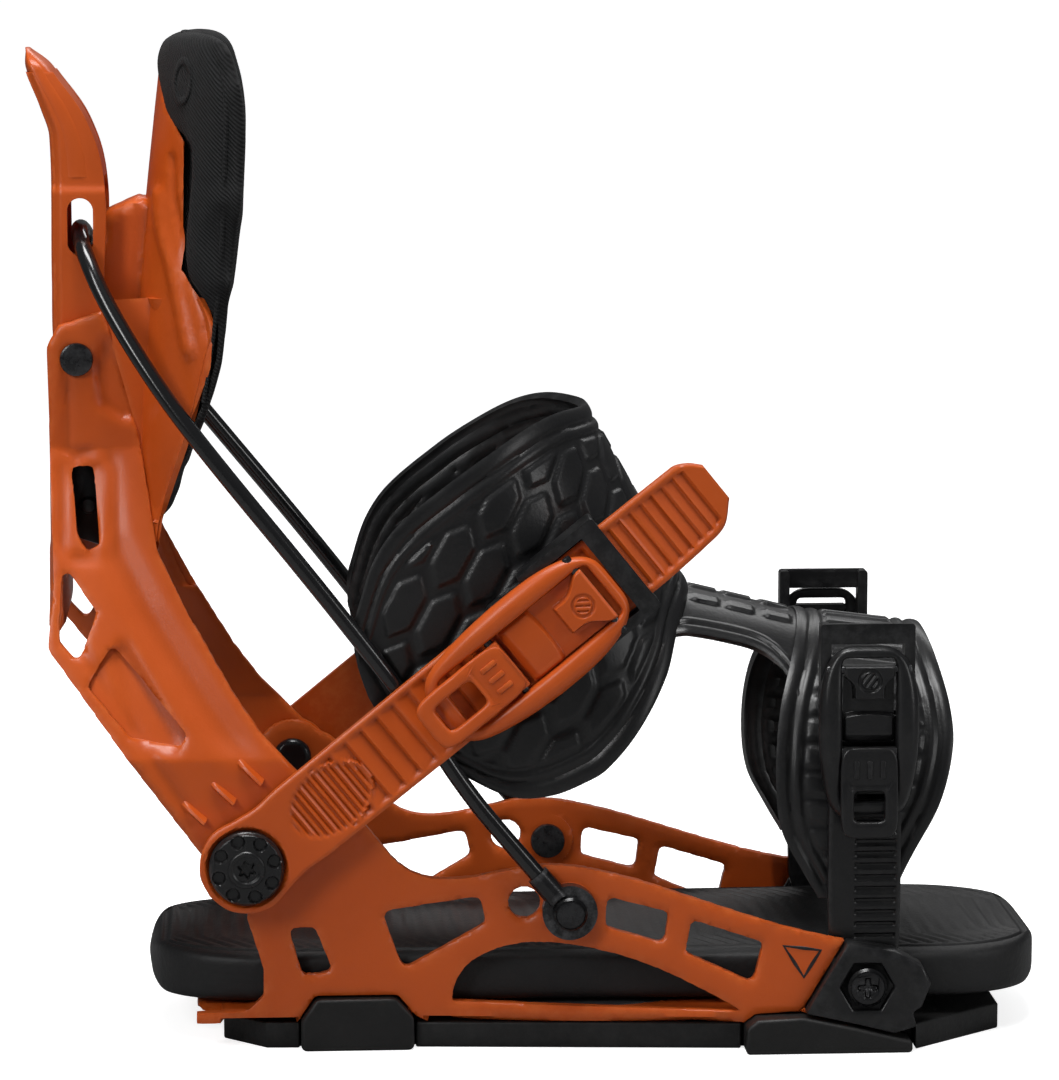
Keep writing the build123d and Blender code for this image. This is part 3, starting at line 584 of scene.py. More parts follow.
def toe_point(u, v):
    bow = (u - 0.5) * 2 * TOE_REACH
    depth = arch_depth(bow, TOE_R)
    rear, front = read(toe_rear, depth), read(toe_front, depth)
    s = rear + (front - rear) * v
    edge = min(s - rear, front - s, TOE_REACH - abs(bow))
    rim = 0.95 * bump_over(edge, -0.6, 4.2) + 0.8 * bump_over(edge, 5.4, 8.6)
    rib = 0.8 * ease(abs((bow / 9.0) % 1.0 - 0.5), 0.12, 0.2) * ease(edge, 9.4, 10.8)
    return arch_point(bow, s, max(rim, rib) - 1.0, TOE_R, TOE_CROWN, TOE_RUN, TOE_DROP)


strap("toe_strap_shell", 260, 64, toe_point, (80, 0, 60), "toe_part", "toe_strap")

# ---- bridge: a saddle between the two straps, with bars on top ----
BRIDGE_START = (34.5, 146.6)
BRIDGE_RUN = (0.9716, -0.2369)
BRIDGE_DROP = (-0.2369, -0.9716)
BRIDGE_LENGTH = 43.0
BRIDGE_LAP = 5.0            # how far it runs into the ankle strap


def bridge_point(u, v):
    s = v * (BRIDGE_LENGTH + BRIDGE_LAP) - BRIDGE_LAP
    flare = abs(2 * v - 1) ** 2.6
    reach = 35.0 + (20.0 if v > 0.5 else 3.0) * flare
    bow = (u - 0.5) * 2 * reach
    edge = reach - abs(bow)
    rim = 0.9 * bump_over(edge, -0.5, 4.5) + 0.6 * bump_over(edge, 5.4, 8.2)
    bar = 0.0
    for middle in (0.0, 13.5):
        across = abs(abs(bow) - middle)
        ends = min(abs(s - 8.0), abs(s - 20.0), abs(s - 33.0))
        bar = max(bar, 0.9 * ease(3.2 - across, 0.0, 0.7) * ease(4.9 - ends, 0.0, 0.8))
    tuck = 1.5 * ease(0.16 - v, 0.0, 0.16)
    return arch_point(bow, s, max(rim, bar) - 1.1 - tuck, ARCH_R, BRIDGE_START, BRIDGE_RUN, BRIDGE_DROP)


bridge = strap("strap_bridge_saddle", 120, 56, bridge_point, (55, 0, 80), None, "strap_bridge")
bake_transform(bridge)


# ---- ladders: ribbed plates laid out along their own line from their bolt ----
def laid(origin, angle, along, across, out):
    """A point of a right-hand ladder or buckle: along it, across it and out from the middle."""
    lean = math.radians(angle)
    return (origin[0] + along * math.cos(lean) - across * math.sin(lean), -out,
            origin[1] + along * math.sin(lean) + across * math.cos(lean))


KNOB_AT = (-112.0, 63.5)
ANKLE_LEAN = 39.0
TOE_BOLT_AT = (90.0, 22.0)
EYE_END = -15.2             # where the ankle ladder starts, behind its knob
ANKLE_LADDER_OUT = 62.4     # its sunk level, out from the middle
TOE_LADDER_OUT = 57.8
eye_outline = [(-15.2, 0), (-14.2, 5.4), (-12, 9.3), (-8, 12.9), (-4, 14.7), (0, 15.2), (7, 14.0), (14, 13.1),
               (24, 13.7)]
ladder_upper = eye_outline + [(188, 13.8), (193, 11.6), (196.5, 8.0)]
ladder_lower = eye_outline + [(160, 13.8), (182, 12.9), (190, 11.4), (196.5, 5.5)]


def ladder_relief(u, v, edge):
    """Height over the plate's sunk level: a ring for the knob, fine ribs, steps and the tongue's ramps."""
    full = 1.6
    from_knob = math.hypot(u, v)
    if from_knob < 13.4:
        return full - (full + 0.7) * ease(13.4 - from_knob, 0.0, 1.3)
    if u < 19:
        return full
    border = full * ease(3.0 - edge, 0.0, 0.9)
    if u < 51.0:
        oval = math.sqrt(((u - 35.0) / 15.6) ** 2 + (v / 11.2) ** 2)
        if u < 35.0 or oval < 1.0:
            ribs = 0.5 + 0.9 * ease(abs((u / 2.15) % 1.0 - 0.5), 0.08, 0.36)
            return max(border, full + (ribs - full) * ease(1.0 - oval, 0.0, 0.17))
    if u < 152:
        step = ((u - 51.0) / 6.6) % 1.0
        slope = 1 - (step / 0.84) ** 1.3 * 0.92 if step < 0.84 else 0.08 + 0.92 * (step - 0.84) / 0.16
        return max(border, full * slope)
    step = ((u - 155.4) / 4.35) % 1.0
    tread = full * (1 - 0.95 * step ** 0.9) if step > 0.15 else full * (0.14 + 0.86 * step / 0.15)
    return max(border, full * ease(u, 189.4, 190.6), tread)


def ankle_ladder_point(u, v, span=211.7):
    along = EYE_END + u * span
    low, high = -read(ladder_lower, along), read(ladder_upper, along)
    across = low + (high - low) * v
    edge = min(across - low, high - across)
    rise = ladder_relief(along, across, edge) - 0.5 * ease(0.8 - edge, 0.0, 0.8)
    return laid(KNOB_AT, ANKLE_LEAN, along, across, ANKLE_LADDER_OUT + rise)


def left_ladder_point(u, v):
    """The left ladder ends just past its buckle."""
    x, y, z = ankle_ladder_point(u, v, 176.0)
    return x, -y, z


toe_half = [(-8.2, 0), (-7.4, 3.6), (-5, 6.5), (-1, 8.1), (5, 9.8), (12, 11.5), (58, 11.8), (90, 11.2)]


def toe_ladder_point(u, v):
    along = -8.2 + u * 98.2
    half = read(toe_half, along)
    across = half * (2 * v - 1)
    edge = min(half - abs(across), 90.0 - along)
    step = ((along - 13.0) / 3.9) % 1.0
    tread = 0.8 * ease(abs(step - 0.5), 0.14, 0.26)
    inside = abs(across + 3.2) < 6.6 and along > 13.0
    rise = tread if inside else 0.8
    return laid(TOE_BOLT_AT, 90.0, along, across, TOE_LADDER_OUT + rise - 0.5 * ease(0.8 - edge, 0.0, 0.8))


def back_at(out):
    return lambda point: (point.x, -out, point.z)


def outward(piece):
    """Turn a closed piece's faces outwards, judged by its volume."""
    all_open(piece)
    bpy.ops.mesh.normals_make_consistent(inside=False)
    bpy.ops.object.mode_set(mode="OBJECT")
    if sum(face.center.dot(face.normal) * face.area for face in piece.data.polygons) < 0:
        piece.data.flip_normals()


for kind, side, slot_name, point, columns, out in (
        ("ankle", "right", "orange", ankle_ladder_point, 360, 60.0),
        ("ankle", "left", "orange", left_ladder_point, 300, -60.0),
        ("toe", "right", "black_plastic", toe_ladder_point, 150, 55.0)):
    plate = formed("%s_ladder_plate_%s" % (kind, side), columns, 34, point)
    joined_up(plate, (0, 0, 100))
    backed(plate, back_at(out))
    outward(plate)
    smooth(plate, 35)
    give = hand_in_pair if kind == "toe" else hand_in
    give(plate, slot_name, kind + "_part", "%s_ladder_%s" % (kind, side))


# ---- strap knobs: a scalloped cap with a centre ring and a star recess, on its shank ----
def knob_point(u, v):
    turn, radius = 2 * math.pi * u, 12.1 * v
    scallop = min(math.hypot(radius - 9.3, 9.3 * (((turn / (math.pi / 4)) % 1.0) - 0.5) * math.pi / 4), 5.0)
    rise = 67.3 - 1.6 * ease(2.3 - scallop, 0.0, 0.5) - 1.6 * ease(radius, 10.7, 12.1) ** 2
    rise += 0.6 * bump_over(radius, 4.2, 6.0)
    rise -= 1.9 * ease(2.5 + 0.55 * math.cos(6 * turn) - radius, 0.0, 0.35)
    return laid(KNOB_AT, ANKLE_LEAN, radius * math.cos(turn), radius * math.sin(turn), rise)


knob = formed("strap_knob_cap_right", 144, 46, knob_point)
joined_up(knob, (0, 0, 60), 0.01)
backed(knob, back_at(61.6))
outward(knob)
smooth(knob, 40)
bpy.ops.mesh.primitive_cylinder_add(vertices=48, radius=0.004, depth=0.0078, rotation=(math.pi / 2, 0, 0),
                                    location=(KNOB_AT[0] * MM, -0.0577, KNOB_AT[1] * MM))
shank = bpy.context.object
shank.name = "strap_knob_shank_right"
only(shank)
bpy.ops.object.transform_apply()
bevelled(shank, 0.0005)
smooth(shank, 40)
hand_in_pair(knob, "black_plastic", "ankle_part", "strap_knob_right")
hand_in_pair(shank, "black_plastic", "ankle_part")

# ---- footbed: a soft bed with slanted ribs on top and a grooved rim ----
bed_half = [(-145, 0.0), (-143.5, 16), (-140, 28), (-132, 38), (-118, 44.5), (-100, 46.8), (-56, 47.4),
            (0, 49), (60, 50.6), (100, 52.2), (118, 52.4), (132, 49), (144, 40), (151, 26), (153.4, 12),
            (154, 0.0)]
BED_HEEL, BED_TOE = -145.0, 154.0
BED_LOW, BED_TOP = 13.4, 31.2


def bed_point(u, v):
    x = BED_HEEL + (BED_TOE - BED_HEEL) * (0.5 - 0.5 * math.cos(math.pi * u))
    half = read(bed_half, x)
    ends = min(x - BED_HEEL, BED_TOE - x)
    plump = math.sqrt(max(0.0, 1 - (1 - min(ends / 7.0, 1.0)) ** 2))
    turn = 2 * math.pi * v
    across, up = math.cos(turn), math.sin(turn)
    y = half * math.copysign(abs(across) ** 0.22, across)
    height = math.copysign(abs(up) ** 0.30, up)
    tall = (BED_TOP - BED_LOW) / 2
    z = (BED_TOP + BED_LOW) / 2 + tall * plump * height
    rim = min(half - abs(y), ends)
    if height > 0.93:
        rib = ease(abs(((x * 0.8 + y * 0.6) / 4.2) % 1.0 - 0.5), 0.08, 0.3)
        z -= 0.7 * (1 - rib) * ease(rim, 8.0, 9.5) + 0.9 * bump_over(rim, 4.6, 7.0)
    return x, y, z


footbed = formed("footbed_cushion", 300, 220, bed_point)
joined_up(footbed, (0, 0, 22), 0.05)
smooth(footbed, 60)
hand_in(footbed, "footbed_foam", "root", "footbed")


def run_distance(x, z, run):
    """Distance from a point to a line of straight runs in the X-Z plane."""
    best = 1e9
    for (ax, az), (bx, bz) in zip(run, run[1:]):
        dx, dz = bx - ax, bz - az
        t = min(max(((x - ax) * dx + (z - az) * dz) / (dx * dx + dz * dz), 0.0), 1.0)
        best = min(best, math.hypot(x - ax - t * dx, z - az - t * dz))
    return best


# ---- calf pad: swollen by a cloth simulation, then pressed back against its shell ----
def pad_centre(z):
    return -99.5 + 8.5 * max(0.0, (z - 170.0) / 110.0) ** 1.4


PAD_CAP = 0.0015            # the most that the cloth may swell
CLOTH_FRAMES = 20
pad = opened_copy("calf_pad", "calf_pad_cushion")
bpy.ops.object.mode_set(mode="OBJECT")
applied(pad, "REMESH", mode="VOXEL", voxel_size=0.0032, use_smooth_shade=True)
applied(pad, "SMOOTH", iterations=18, factor=0.5)
before = [(vertex.co.copy(), vertex.normal.copy()) for vertex in pad.data.vertices]
only(pad)
cloth = pad.modifiers.new("cloth", "CLOTH")
cloth.settings.use_pressure = True
cloth.settings.uniform_pressure_force = 4.0
cloth.settings.effector_weights.gravity = 0.0
cloth.settings.quality = 5
cloth.collision_settings.use_collision = False
for tick in range(1, CLOTH_FRAMES + 1):
    scene.frame_set(tick)
bpy.ops.object.modifier_apply(modifier="cloth")
scene.frame_set(1)
for vertex, (start, outside) in zip(pad.data.vertices, before):
    swell = (vertex.co - start).dot(outside)
    vertex.co = start + outside * min(max(swell, 0.0), PAD_CAP)
applied(pad, "SUBSURF", levels=1, render_levels=1)
shell_rear = [(182, -136.6), (203, -129.6), (224, -121.6), (238, -120.5), (255, -130.4), (294, -129.4),
              (303, -135.4), (311, -141.5), (322, -146)]
for vertex in pad.data.vertices:
    x, y, z = vertex.co / MM
    centre = pad_centre(z)
    reach = math.hypot(x - centre, y)
    limit = 48.2 + 5.8 * max(ease(x - read(shell_rear, z), -1.0, 2.0), ease(z, 312, 317))
    if reach > limit:
        vertex.co.x = (centre + (x - centre) * limit / reach) * MM
        vertex.co.y = y * limit / reach * MM


seam_side = [(-132, 12, 334), (-124, 38, 331), (-117.5, 46, 317), (-115.5, 48, 297), (-116.5, 48, 263),
             (-118.8, 48, 238), (-124, 46, 214)]
seam_trace = [(x, z) for x, y, z in seam_side[1:]]
for vertex in pad.data.vertices:
    x, y, z = vertex.co / MM
    if abs(y) > 18 and math.hypot(x - pad_centre(z), y) > 44:
        sink = 1.1 * ease(2.2 - run_distance(x, z, seam_trace), 0.0, 2.2)
        vertex.co.y -= math.copysign(sink, y) * MM
smooth(pad, 70)

piping_route = []
for x, y, z in [(x, -y, z) for x, y, z in reversed(seam_side)] + seam_side:
    near, normal = pad.closest_point_on_mesh(Vector((x, y, z)) * MM)[1:3]
    piping_route.append(near + normal * 0.0001)
piping = tube("calf_pad_piping", piping_route, 0.0007, 4, 3)
only(piping)
bpy.ops.object.convert(target="MESH")
nothing_selected()
bpy.ops.mesh.primitive_torus_add(major_segments=48, minor_segments=10, major_radius=0.0042,
                                 minor_radius=0.0009, rotation=(math.pi / 2, 0, 0))
badge = bpy.context.object
badge.name = "calf_pad_badge"
only(badge)
bpy.ops.object.transform_apply()
for vertex in badge.data.vertices:
    x, z = -0.1305 + vertex.co.x * 0.62 + vertex.co.z * 0.12, 0.3155 + vertex.co.z * 1.55
    near = pad.ray_cast(Vector((x, -0.09, z)), Vector((0, 1, 0)))[1]
    vertex.co = (x, near.y + vertex.co.y, z)
smooth(badge, 60)
hand_in(mirrored(badge, "calf_pad_badge_left"), "pad_fabric", "highback")
hand_in(badge, "pad_fabric", "highback")
hand_in(pad, "pad_fabric", "highback", "calf_pad")
hand_in(piping, "pad_fabric", "highback")


# ---- sculpted hard parts: cut into a fine net, worked on, then relaxed into soft fillets ----
def netted(node, pitch, reach):
    """A merged copy of a CAD node, cut by planes square to X and Z every pitch millimetres."""
    piece = opened_copy(node, node + "_moulding")
    bpy.ops.mesh.dissolve_limited(angle_limit=math.radians(FLAT))
    low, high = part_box(node)
    for axis in reach:
        normal = tuple(1.0 if k == axis else 0.0 for k in range(3))
        count = int((high[axis] - low[axis]) / (pitch * MM))
        for cut in range(1, count):
            place = tuple(low[axis] + cut * (high[axis] - low[axis]) / count if k == axis else 0.0
                          for k in range(3))
            bpy.ops.mesh.select_all(action="SELECT")
            bpy.ops.mesh.bisect(plane_co=place, plane_no=normal)
    bpy.ops.mesh.select_all(action="SELECT")
    bpy.ops.mesh.remove_doubles(threshold=SLIVER)
    bpy.ops.object.mode_set(mode="OBJECT")
    return piece


def relaxed(piece, rounds, angle, body, node):
    applied(piece, "SMOOTH", iterations=rounds, factor=0.5)
    smooth(piece, angle)
    hand_in(piece, "orange", body, node)


def depth_inside(x, z, outline):
    """How far a point lies inside a closed outline, nought outside it."""
    within = False
    for (ax, az), (bx, bz) in zip(outline, outline[1:] + outline[:1]):
        if (az > z) != (bz > z) and x < ax + (z - az) * (bx - ax) / (bz - az):
            within = not within
    return run_distance(x, z, outline + outline[:1]) if within else 0.0


def arm_outer(z):
    return 58.5 if z < 98 else 58.5 - (58.5 - 24.3) * min((z - 98) / 98, 1.0)


flange_line = [(-147, 236), (-143.5, 205), (-137, 168), (-127, 143), (-113, 121), (-104, 108), (-95, 96)]
rear_groove = [(-169, 228), (-169.5, 196), (-168.5, 163)]
lower_groove = [(-171, 141), (-131, 82)]
valley = [(-158, 190), (-156, 168), (-143, 143), (-129, 121), (-120, 108), (-112, 97)]
upper_hollow = [(-156.5, 236), (-161.5, 224), (-160, 209), (-152, 204), (-144, 205), (-146, 217)]
lower_hollow = [(-157, 131), (-151, 138), (-147, 131), (-131, 104), (-134, 98.5), (-142, 100), (-151, 105)]
slot_line = [(-163.7, 187), (-163.7, 168)]
yoke = netted("yoke", 1.7, (0, 2))
for vertex in yoke.data.vertices:
    x, y, z = vertex.co / MM
    depth = arm_outer(z) - abs(y)
    if depth < 3.4 and math.hypot(x + 112.0, z - 63.5) > 17.0:
        share = 1.0 - max(depth, 0.0) / 4.8
        line_x = read([(z0, x0) for x0, z0 in reversed(flange_line)], z)
        step = 2.3 * ease(x - line_x, 0.0, 2.4) if z > 94 else 0.0
        crest = 1.0 * ease(3.0 - run_distance(x, z, flange_line), 0.0, 2.6)
        groove = 1.4 * ease(1.9 - run_distance(x, z, rear_groove), 0.0, 1.6)
        groove += 1.4 * ease(1.9 - run_distance(x, z, lower_groove), 0.0, 1.6)
        groove += 1.9 * ease(8.0 - run_distance(x, z, valley), 0.0, 8.0) * ease(z, 92, 106)
        groove += 2.6 * ease(depth_inside(x, z, upper_hollow), 0.0, 2.6)
        groove += 2.2 * ease(depth_inside(x, z, lower_hollow), 0.0, 3.2)
        crest += 1.3 * bump_over(run_distance(x, z, slot_line), 4.6, 9.4)
        sunk = min(step + groove, 3.6) - crest * (1.0 if step < 0.2 else 0.0)
        vertex.co.y -= math.copysign(share * sunk, y) * MM
relaxed(yoke, 3, 60, "highback", "yoke")

# ---- gusset fins above the knob, rising from the arm ----
for number, (px, pz, qx, qz) in enumerate(((-114.5, 97.5, -107.0, 90.5), (-123.5, 90.8, -116.0, 84.2),
                                           (-132.5, 84.0, -125.5, 77.8))):
    bpy.ops.mesh.primitive_cube_add(size=1.0)
    fin = bpy.context.object
    fin.name = "arm_fin_right_%d" % (number + 1)
    all_open(fin)
    bpy.ops.mesh.subdivide(number_cuts=5)
    bpy.ops.object.mode_set(mode="OBJECT")
    way = Vector((qx - px, qz - pz)).normalized()
    for vertex in fin.data.vertices:
        t, side, up = vertex.co.x + 0.5, vertex.co.y, vertex.co.z + 0.5
        broad = 0.9 + 2.6 * (1 - up)
        rise = 4.6 * max(t, 0.0) ** 0.6 * up
        x = px + (qx - px) * t - way.y * side * broad
        z = pz + (qz - pz) * t + way.x * side * broad
        vertex.co = Vector((x, -(arm_outer(z) - 1.0 + rise + up * 0.4), z)) * MM
    outward(fin)
    smooth(fin, 40)
    hand_in_pair(fin, "orange", "highback")

# ---- webs that carry each arm's upper end into the shell ----
arm_edge = [(150, -134), (163, -141), (200, -147.5), (241, -158.5), (250, -160)]
shell_edge = [(166, -141), (182, -137.2), (203, -130.4), (226, -124.5), (238, -122.5), (256, -131)]


def web_point(u, v):
    z_arm = 166.0 + 78.0 * v
    z_shell = 172.0 + 74.0 * v
    a = Vector((read(arm_edge, z_arm) + 1.0, -(arm_outer(z_arm) - 1.6), z_arm))
    x_shell = read(shell_edge, z_shell)
    y_shell = math.sqrt(52.2 ** 2 - (x_shell - pad_centre(z_shell)) ** 2)
    b = Vector((x_shell, -y_shell, z_shell))
    across = a.lerp(b, u)
    dip = 9.0 * math.sin(math.pi * u) ** 1.2 * ease(v, 0.05, 0.5)
    ridge = 5.5 * bump_over(u, 0.38, 0.72) * ease(v, 0.2, 0.6)
    return across.x + 0.4 * dip, across.y + dip - ridge, across.z


web = formed("shoulder_web_right", 40, 60, web_point)
joined_up(web, (-120, 0, 200))
applied(web, "SOLIDIFY", thickness=0.002, offset=-1.0)
smooth(web, 60)
hand_in_pair(web, "orange", "highback")

# ---- shell with its ridges ----
ridge_run = [(-139, 279), (-138, 268), (-134, 254), (-129, 229)]
lip_run = [(-134, 291), (-134, 279), (-131, 263), (-125, 246), (-122, 234)]
shell = netted("highback_shell", 2.2, (0, 2))
for vertex in shell.data.vertices:
    x, y, z = vertex.co / MM
    centre = pad_centre(z)
    reach = math.hypot(x - centre, y)
    if reach > 50.5 and abs(y) > 12:
        swell = 1.5 * ease(3.2 - run_distance(x, z, ridge_run), 0.0, 3.0)
        swell -= 1.3 * ease(1.8 - run_distance(x, z, lip_run), 0.0, 1.6)
        vertex.co.x += (x - centre) / reach * swell * MM
        vertex.co.y += y / reach * swell * MM
    elif x < -145 and abs(y) < 11.2:
        vertex.co.x += 1.6 * bump_over(abs(y), -4.0, 4.0) * MM
relaxed(shell, 2, 55, "highback", "highback_shell")

baseplate = netted("baseplate", 2.0, (0, 2))
relaxed(baseplate, 2, 50, "root", "baseplate")

# ---- release lever: a bent channel with a spoon tip ----
lever_rear = [(218.5, -170.5), (228, -173.6), (250, -174), (297, -174.2), (306, -177.2), (316, -181.4),
              (320, -182.7), (325.5, -183.6)]
lever_front = [(218.5, -165.5), (222, -161.5), (232, -158.6), (250, -157), (272, -156), (282, -156.4),
               (290, -157.6), (297, -159.7), (306, -163.9), (316, -171.2), (321, -175), (325.5, -180)]
CHANNEL_LOW = 220.2
CHANNEL_RISE = 97.8
lever_half = [(218.5, 18.6), (240, 19.4), (279, 19.4), (281.5, 18.3), (300, 18.2), (312, 17.4), (325.5, 15.0)]


def lever_point(u, v):
    z = CHANNEL_LOW + CHANNEL_RISE * v
    rear, front, half = read(lever_rear, z), read(lever_front, z), read(lever_half, z)
    way = (2 * u - 1) * (1.0 + (front - rear) / half)
    corner = 3.5
    if abs(way) > 1.0:
        reach = (abs(way) - 1.0) * half
        x = rear + reach
        y = half - 1.6 * (1 - ease(reach, 0.0, corner))
        x += 0.6 * (1 - ease(reach, 0.0, corner))
        return x, math.copysign(y, way), z
    y = abs(way) * half
    dish = 1.6 * ease(z, 296, 312) * (1 - (y / half) ** 2)
    x = rear + 0.6 * ease(y, half - corner, half) + dish
    return x, way * half * (1 - 1.6 / half * ease(y, half - corner, half)), z


lever = formed("release_lever_channel", 120, 110, lever_point)
joined_up(lever, (-160, 0, 255))
applied(lever, "SOLIDIFY", thickness=0.0034, offset=-1.0)
bpy.ops.mesh.primitive_cylinder_add(vertices=48, radius=0.0042, depth=0.06, location=(-0.1644, 0, 0.2678),
                                    rotation=(math.pi / 2, 0, 0))
slot_cutter = bpy.context.object
only(slot_cutter)
bpy.ops.object.transform_apply()
for vertex in slot_cutter.data.vertices:
    vertex.co.z += math.copysign(0.0052, vertex.co.z - 0.2678)
applied(lever, "BOOLEAN", object=slot_cutter, operation="DIFFERENCE", solver="EXACT")
bpy.data.objects.remove(slot_cutter)
bevelled(lever, 0.0005, angle=50, use_clamp_overlap=True)
smooth(lever, 50)
hand_in(lever, "orange", "lever", "release_lever")


def spoon_point(u, v):
    """The solid finger grip that fills the channel's upper end."""
    z = 284.0 + 41.5 * min(max((v - 0.03) / 0.94, 0.0), 1.0)
    size = min(ease(v, 0.0, 0.03), ease(1.0 - v, 0.0, 0.03)) if v in (0.0, 1.0) else 1.0
    size *= math.sqrt(max(1.0 - max((z - 319.0) / 6.8, 0.0) ** 2, 0.01)) if v < 1.0 else 0.0
    rear, front, half = read(lever_rear, z), read(lever_front, z) + 0.2, read(lever_half, z) + 0.2
    turn = 2 * math.pi * u
    c, n = math.cos(turn), math.sin(turn)
    depth = (front - rear) / 2
    x = (rear + front) / 2 + depth * max(size, 0.55 if v < 1.0 else 0.0) * math.copysign(abs(c) ** 0.62, c)
    return x + 0.6 * max(-c, 0.0), half * size * math.copysign(abs(n) ** 0.62, n), z


grip = formed("release_lever_grip", 96, 70, spoon_point)
joined_up(grip, (-170, 0, 300))
outward(grip)
smooth(grip, 55)
hand_in(grip, "orange", "lever")


# ---- buckles: a crowned frame, a dished ratchet lever and a release tab, in ladder directions ----
def rounded_loop(turn, middle, half_length, half_width, power):
    c, n = math.cos(turn), math.sin(turn)
    return (middle[0] + half_length * math.copysign(abs(c) ** power, c),
            middle[1] + half_width * math.copysign(abs(n) ** power, n))


def banded(name, outer, inner, bottom, top, lay):
    """A closed band between two loops: its section is a rounded bar from bottom to top."""
    def place(u, v):
        turn = 2 * math.pi * u
        oa, oc = outer(turn)
        ia, ic = inner(turn)
        c, n = math.cos(2 * math.pi * v), math.sin(2 * math.pi * v)
        side = 0.5 + 0.5 * math.copysign(abs(c) ** 0.6, c)
        level = 0.5 + 0.5 * math.copysign(abs(n) ** 0.6, n)
        along, across = ia + (oa - ia) * side, ic + (oc - ic) * side
        return lay(along, across, bottom + (top(along, side) - bottom) * level)

    piece = formed(name, 200, 36, place)
    joined_up(piece, lay(*inner(0.0), bottom))
    outward(piece)
    smooth(piece, 60)
    return piece


def buckle_frame(name, lay, start, length, low, high):
    centre = (low + high) / 2
    half = (high - low) / 2
    taper = [(0.0, 0.86), (0.12, 0.93), (0.45, 1.06), (0.7, 1.05), (0.88, 0.96), (1.0, 0.84)]

    def outer(turn):
        along, across = rounded_loop(turn, (start + length / 2, centre), length / 2, half, 0.42)
        return along, centre + (across - centre) * read(taper, (along - start) / length)

    def inner(turn):
        return rounded_loop(turn, (start + length / 2 + 1.25, centre), (length - 9.9) / 2, half - 6.6, 0.12)

    def top(along, side):
        part = min(max((along - start) / length, 0.0), 1.0)
        return 6.3 + 3.2 * math.sin(math.pi * part) ** 1.3 - 1.0 * ease(side, 0.55, 1.0)

    return banded(name, outer, inner, 2.5, top, lay)


def ratchet_lever(name, lay, back, first, last, middle, half):
    """A smooth dish, a deep hollow behind it, then a mark plate with a finger pocket on each side."""
    dish_end = first + 0.36 * (last - first)
    plate = first + 0.58 * (last - first)
    mark = (plate + last) / 2 + 0.5

    def place(u, v):
        along = first + (last - first) * u
        across = middle - half + 2 * half * v
        side = abs(across - middle)
        edge = min(half - side, along - first, last - along)
        rise = 6.9 - 1.6 * ease(first + 3.0 - along, 0.0, 3.0) - 0.9 * (side / half) ** 2
        rise -= 2.4 * ease(along, dish_end - 1.5 * (side / half) ** 2, dish_end + 1.0)
        stem = 4.6 + 5.2 * ease(along, plate + 2.0, last - 0.8) ** 1.6
        lifted = ease(along, plate - 0.6, plate) * (1 - ease(side, stem, stem + 0.8))
        rise += (8.0 - rise) * lifted
        ring = abs(math.hypot(along - mark, across - middle) - 3.4)
        bars = abs(((along - mark) * 0.6 + (across - middle) * 0.8 + 0.9) % 1.8 - 0.9)
        cut = ease(0.7 - ring, 0.0, 0.35)
        if math.hypot(along - mark, across - middle) < 2.5:
            cut = max(cut, ease(0.5 - bars, 0.0, 0.3))
        rise -= 0.55 * cut * lifted + 0.6 * ease(0.8 - edge, 0.0, 0.8)
        return lay(along, across, max(rise, 4.1))

    lever_piece = formed(name, 120, 90, place)
    backed(lever_piece, back)
    outward(lever_piece)
    smooth(lever_piece, 45)
    return lever_piece


def release_tab(name, lay, first, last, middle, pin):
    """A thick rimmed tab with a window and three raised bars, on a block that carries its pin."""
    window_at = ((first + 5.4 + pin - 11.5) / 2, middle)
    window_half = (pin - 16.9 - first) / 2

    def top(along, side):
        return 10.2 - 0.8 * ease(along, pin - 11.0, pin - 10.0) * ease(last - along, 0, 1)

    plate = banded(name,
                   lambda turn: rounded_loop(turn, ((first + last) / 2, middle), (last - first) / 2, 9.4, 0.36),
                   lambda turn: rounded_loop(turn, window_at, window_half, 5.0, 0.34), 7.4, top, lay)
    extras = []
    blocks = [(pin - 8.6, pin + 2.4, -9.0, 9.0, 3.8, 8.2)]
    blocks += [(pin - 7.4, pin - 1.6, bar, bar + 1.8, 9.0, 10.0) for bar in (-5.2, -0.9, 3.4)]
    for number, (from_a, to_a, from_c, to_c, from_h, to_h) in enumerate(blocks):
        bpy.ops.mesh.primitive_cube_add(size=1.0)
        block = bpy.context.object
        block.name = name + ("_block" if number == 0 else "_bar_%d" % number)
        only(block)
        for vertex in block.data.vertices:
            along = from_a if vertex.co.x < 0 else to_a
            across = middle + (from_c if vertex.co.y < 0 else to_c)
            vertex.co = Vector(lay(along, across, from_h if vertex.co.z < 0 else to_h)) * MM
        bevelled(block, 0.0004)
        outward(block)
        smooth(block, 40)
        extras.append(block)
    return plate, extras


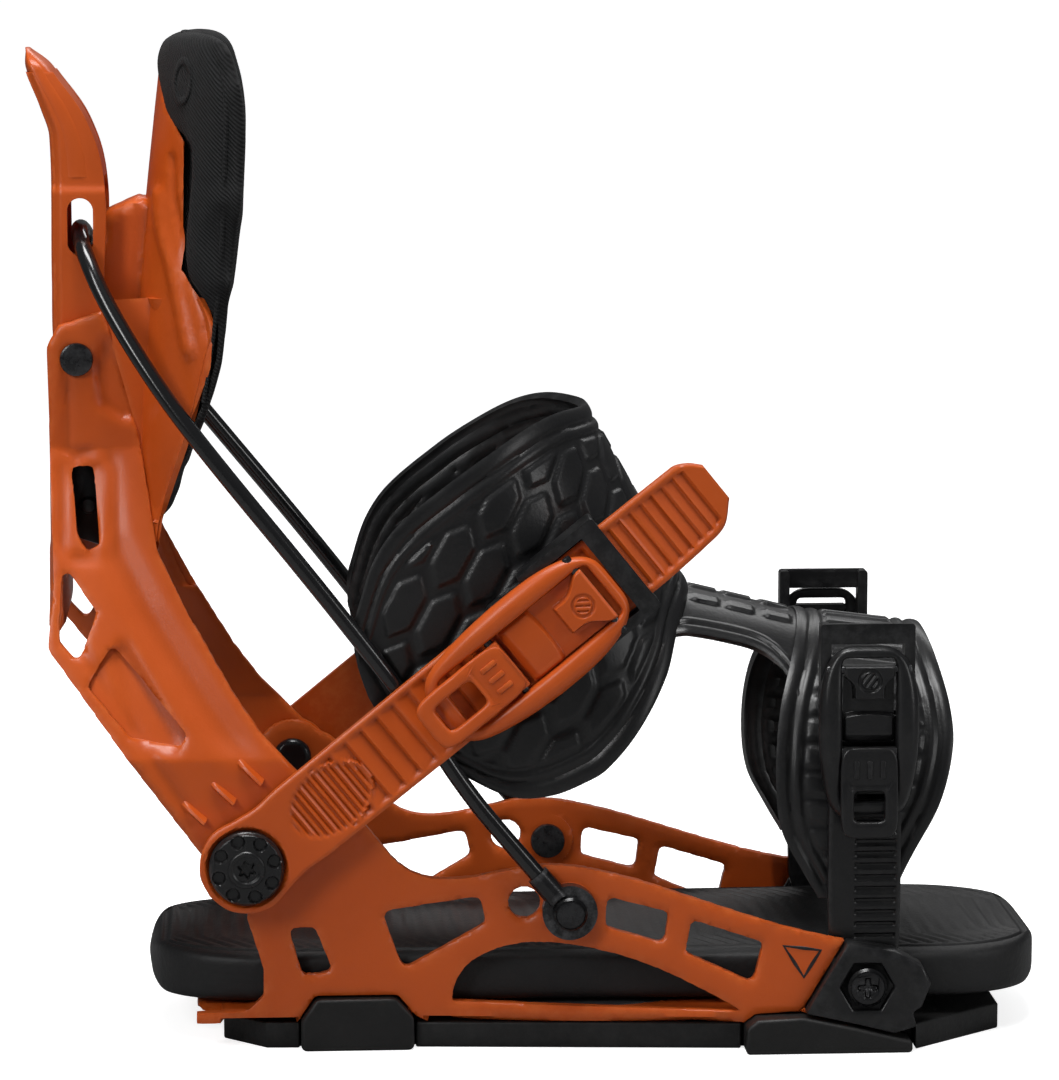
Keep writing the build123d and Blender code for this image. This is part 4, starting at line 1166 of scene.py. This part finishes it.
for kind, slot_name, origin, angle, face, start, length, low, high, body in (
        ("ankle", "orange", KNOB_AT, ANKLE_LEAN, 64.0, 80.0, 71.0, -18.4, 15.6, "ankle_part"),
        ("toe", "black_plastic", TOE_BOLT_AT, 90.0, 58.6, 55.0, 57.0, -15.4, 15.4, "toe_part")):
    def lay(along, across, height, origin=origin, angle=angle, face=face):
        return laid(origin, angle, along, across, face + height)

    ratchet_pin = start + length - 7.5
    tab_pin = start + 0.38 * length
    middle = (low + high) / 2
    surround = buckle_frame(kind + "_buckle_frame_right", lay, start, length, low, high)
    hand_in_pair(surround, slot_name, body, kind + "_buckle_right")
    flap = ratchet_lever(kind + "_ratchet_lever_right", lay, back_at(face + 3.6), tab_pin + 4.0,
                         ratchet_pin + 1.5, middle, (high - low) / 2 - 7.1)
    hand_in_pair(flap, slot_name, kind + "_ratchet_right", kind + "_ratchet_right")
    tab, extras = release_tab(kind + "_release_tab_right", lay, start - 5.5, tab_pin + 2.6, middle, tab_pin)
    for extra in extras:
        hand_in_pair(extra, slot_name, kind + "_release_right")
    hand_in_pair(tab, slot_name, kind + "_release_right", kind + "_release_right")

# ---- a plain three-sided mark let into each side rail ----
MARK_CORNERS = [Vector((63.0, 35.0)), Vector((75.0, 33.6)), Vector((69.6, 24.6))]


def mark_point(u, v):
    """A thin bar round the three corners, half let into the rail's outer face."""
    side = min(int(u * 3), 2)
    spot = MARK_CORNERS[side].lerp(MARK_CORNERS[(side + 1) % 3], u * 3 - side)
    middle = (MARK_CORNERS[0] + MARK_CORNERS[1] + MARK_CORNERS[2]) / 3
    turn = 2 * math.pi * v
    spot = spot + (spot - middle).normalized() * 0.6 * math.cos(turn)
    near = baseplate.ray_cast(Vector((spot.x * MM, -0.09, spot.y * MM)), Vector((0, 1, 0)))[1]
    return spot.x, near.y / MM - 0.3 * math.sin(turn), spot.y


mark = formed("rail_mark_right", 90, 8, mark_point)
joined_up(mark, (76, -60, 32), 0.01)
outward(mark)
hand_in_pair(mark, "black_plastic", "root")

# ---- small hard parts, straight from the CAD shapes ----
HARD_PARTS = {
    "black_plastic": ["toe_cap_right", "toe_cap_left", "lean_block",
                      "toe_buckle_base_right", "toe_buckle_base_left",
                      "ankle_buckle_base_right", "ankle_buckle_base_left"],
    "black_steel": ["ankle_buckle_pins", "toe_buckle_pins", "lever_pin", "toe_bolt_right", "toe_bolt_left",
                    "pivot_bolt_right", "pivot_bolt_left", "cable_bolt_right", "cable_bolt_left"],
    "sole_rubber": ["undersole", "heel_pad_right", "heel_pad_left", "toe_pad_right", "toe_pad_left"],
    "disc_plastic": ["mounting_disc"],
}
for slot_name, members in HARD_PARTS.items():
    for node in members:
        small = node.endswith("pins")
        rounded = "base" in node or slot_name == "sole_rubber"
        moulded_copy(node, slot_name, softness=0.0005 if small else 0.0018 if rounded else 0.0009,
                     segments=4 if rounded else 2, clamp=small or rounded)
for side in ("right", "left"):
    end = nodes["cable_end_" + side]
    end.data.materials.clear()
    end.data.materials.append(FINISH["black_steel"])
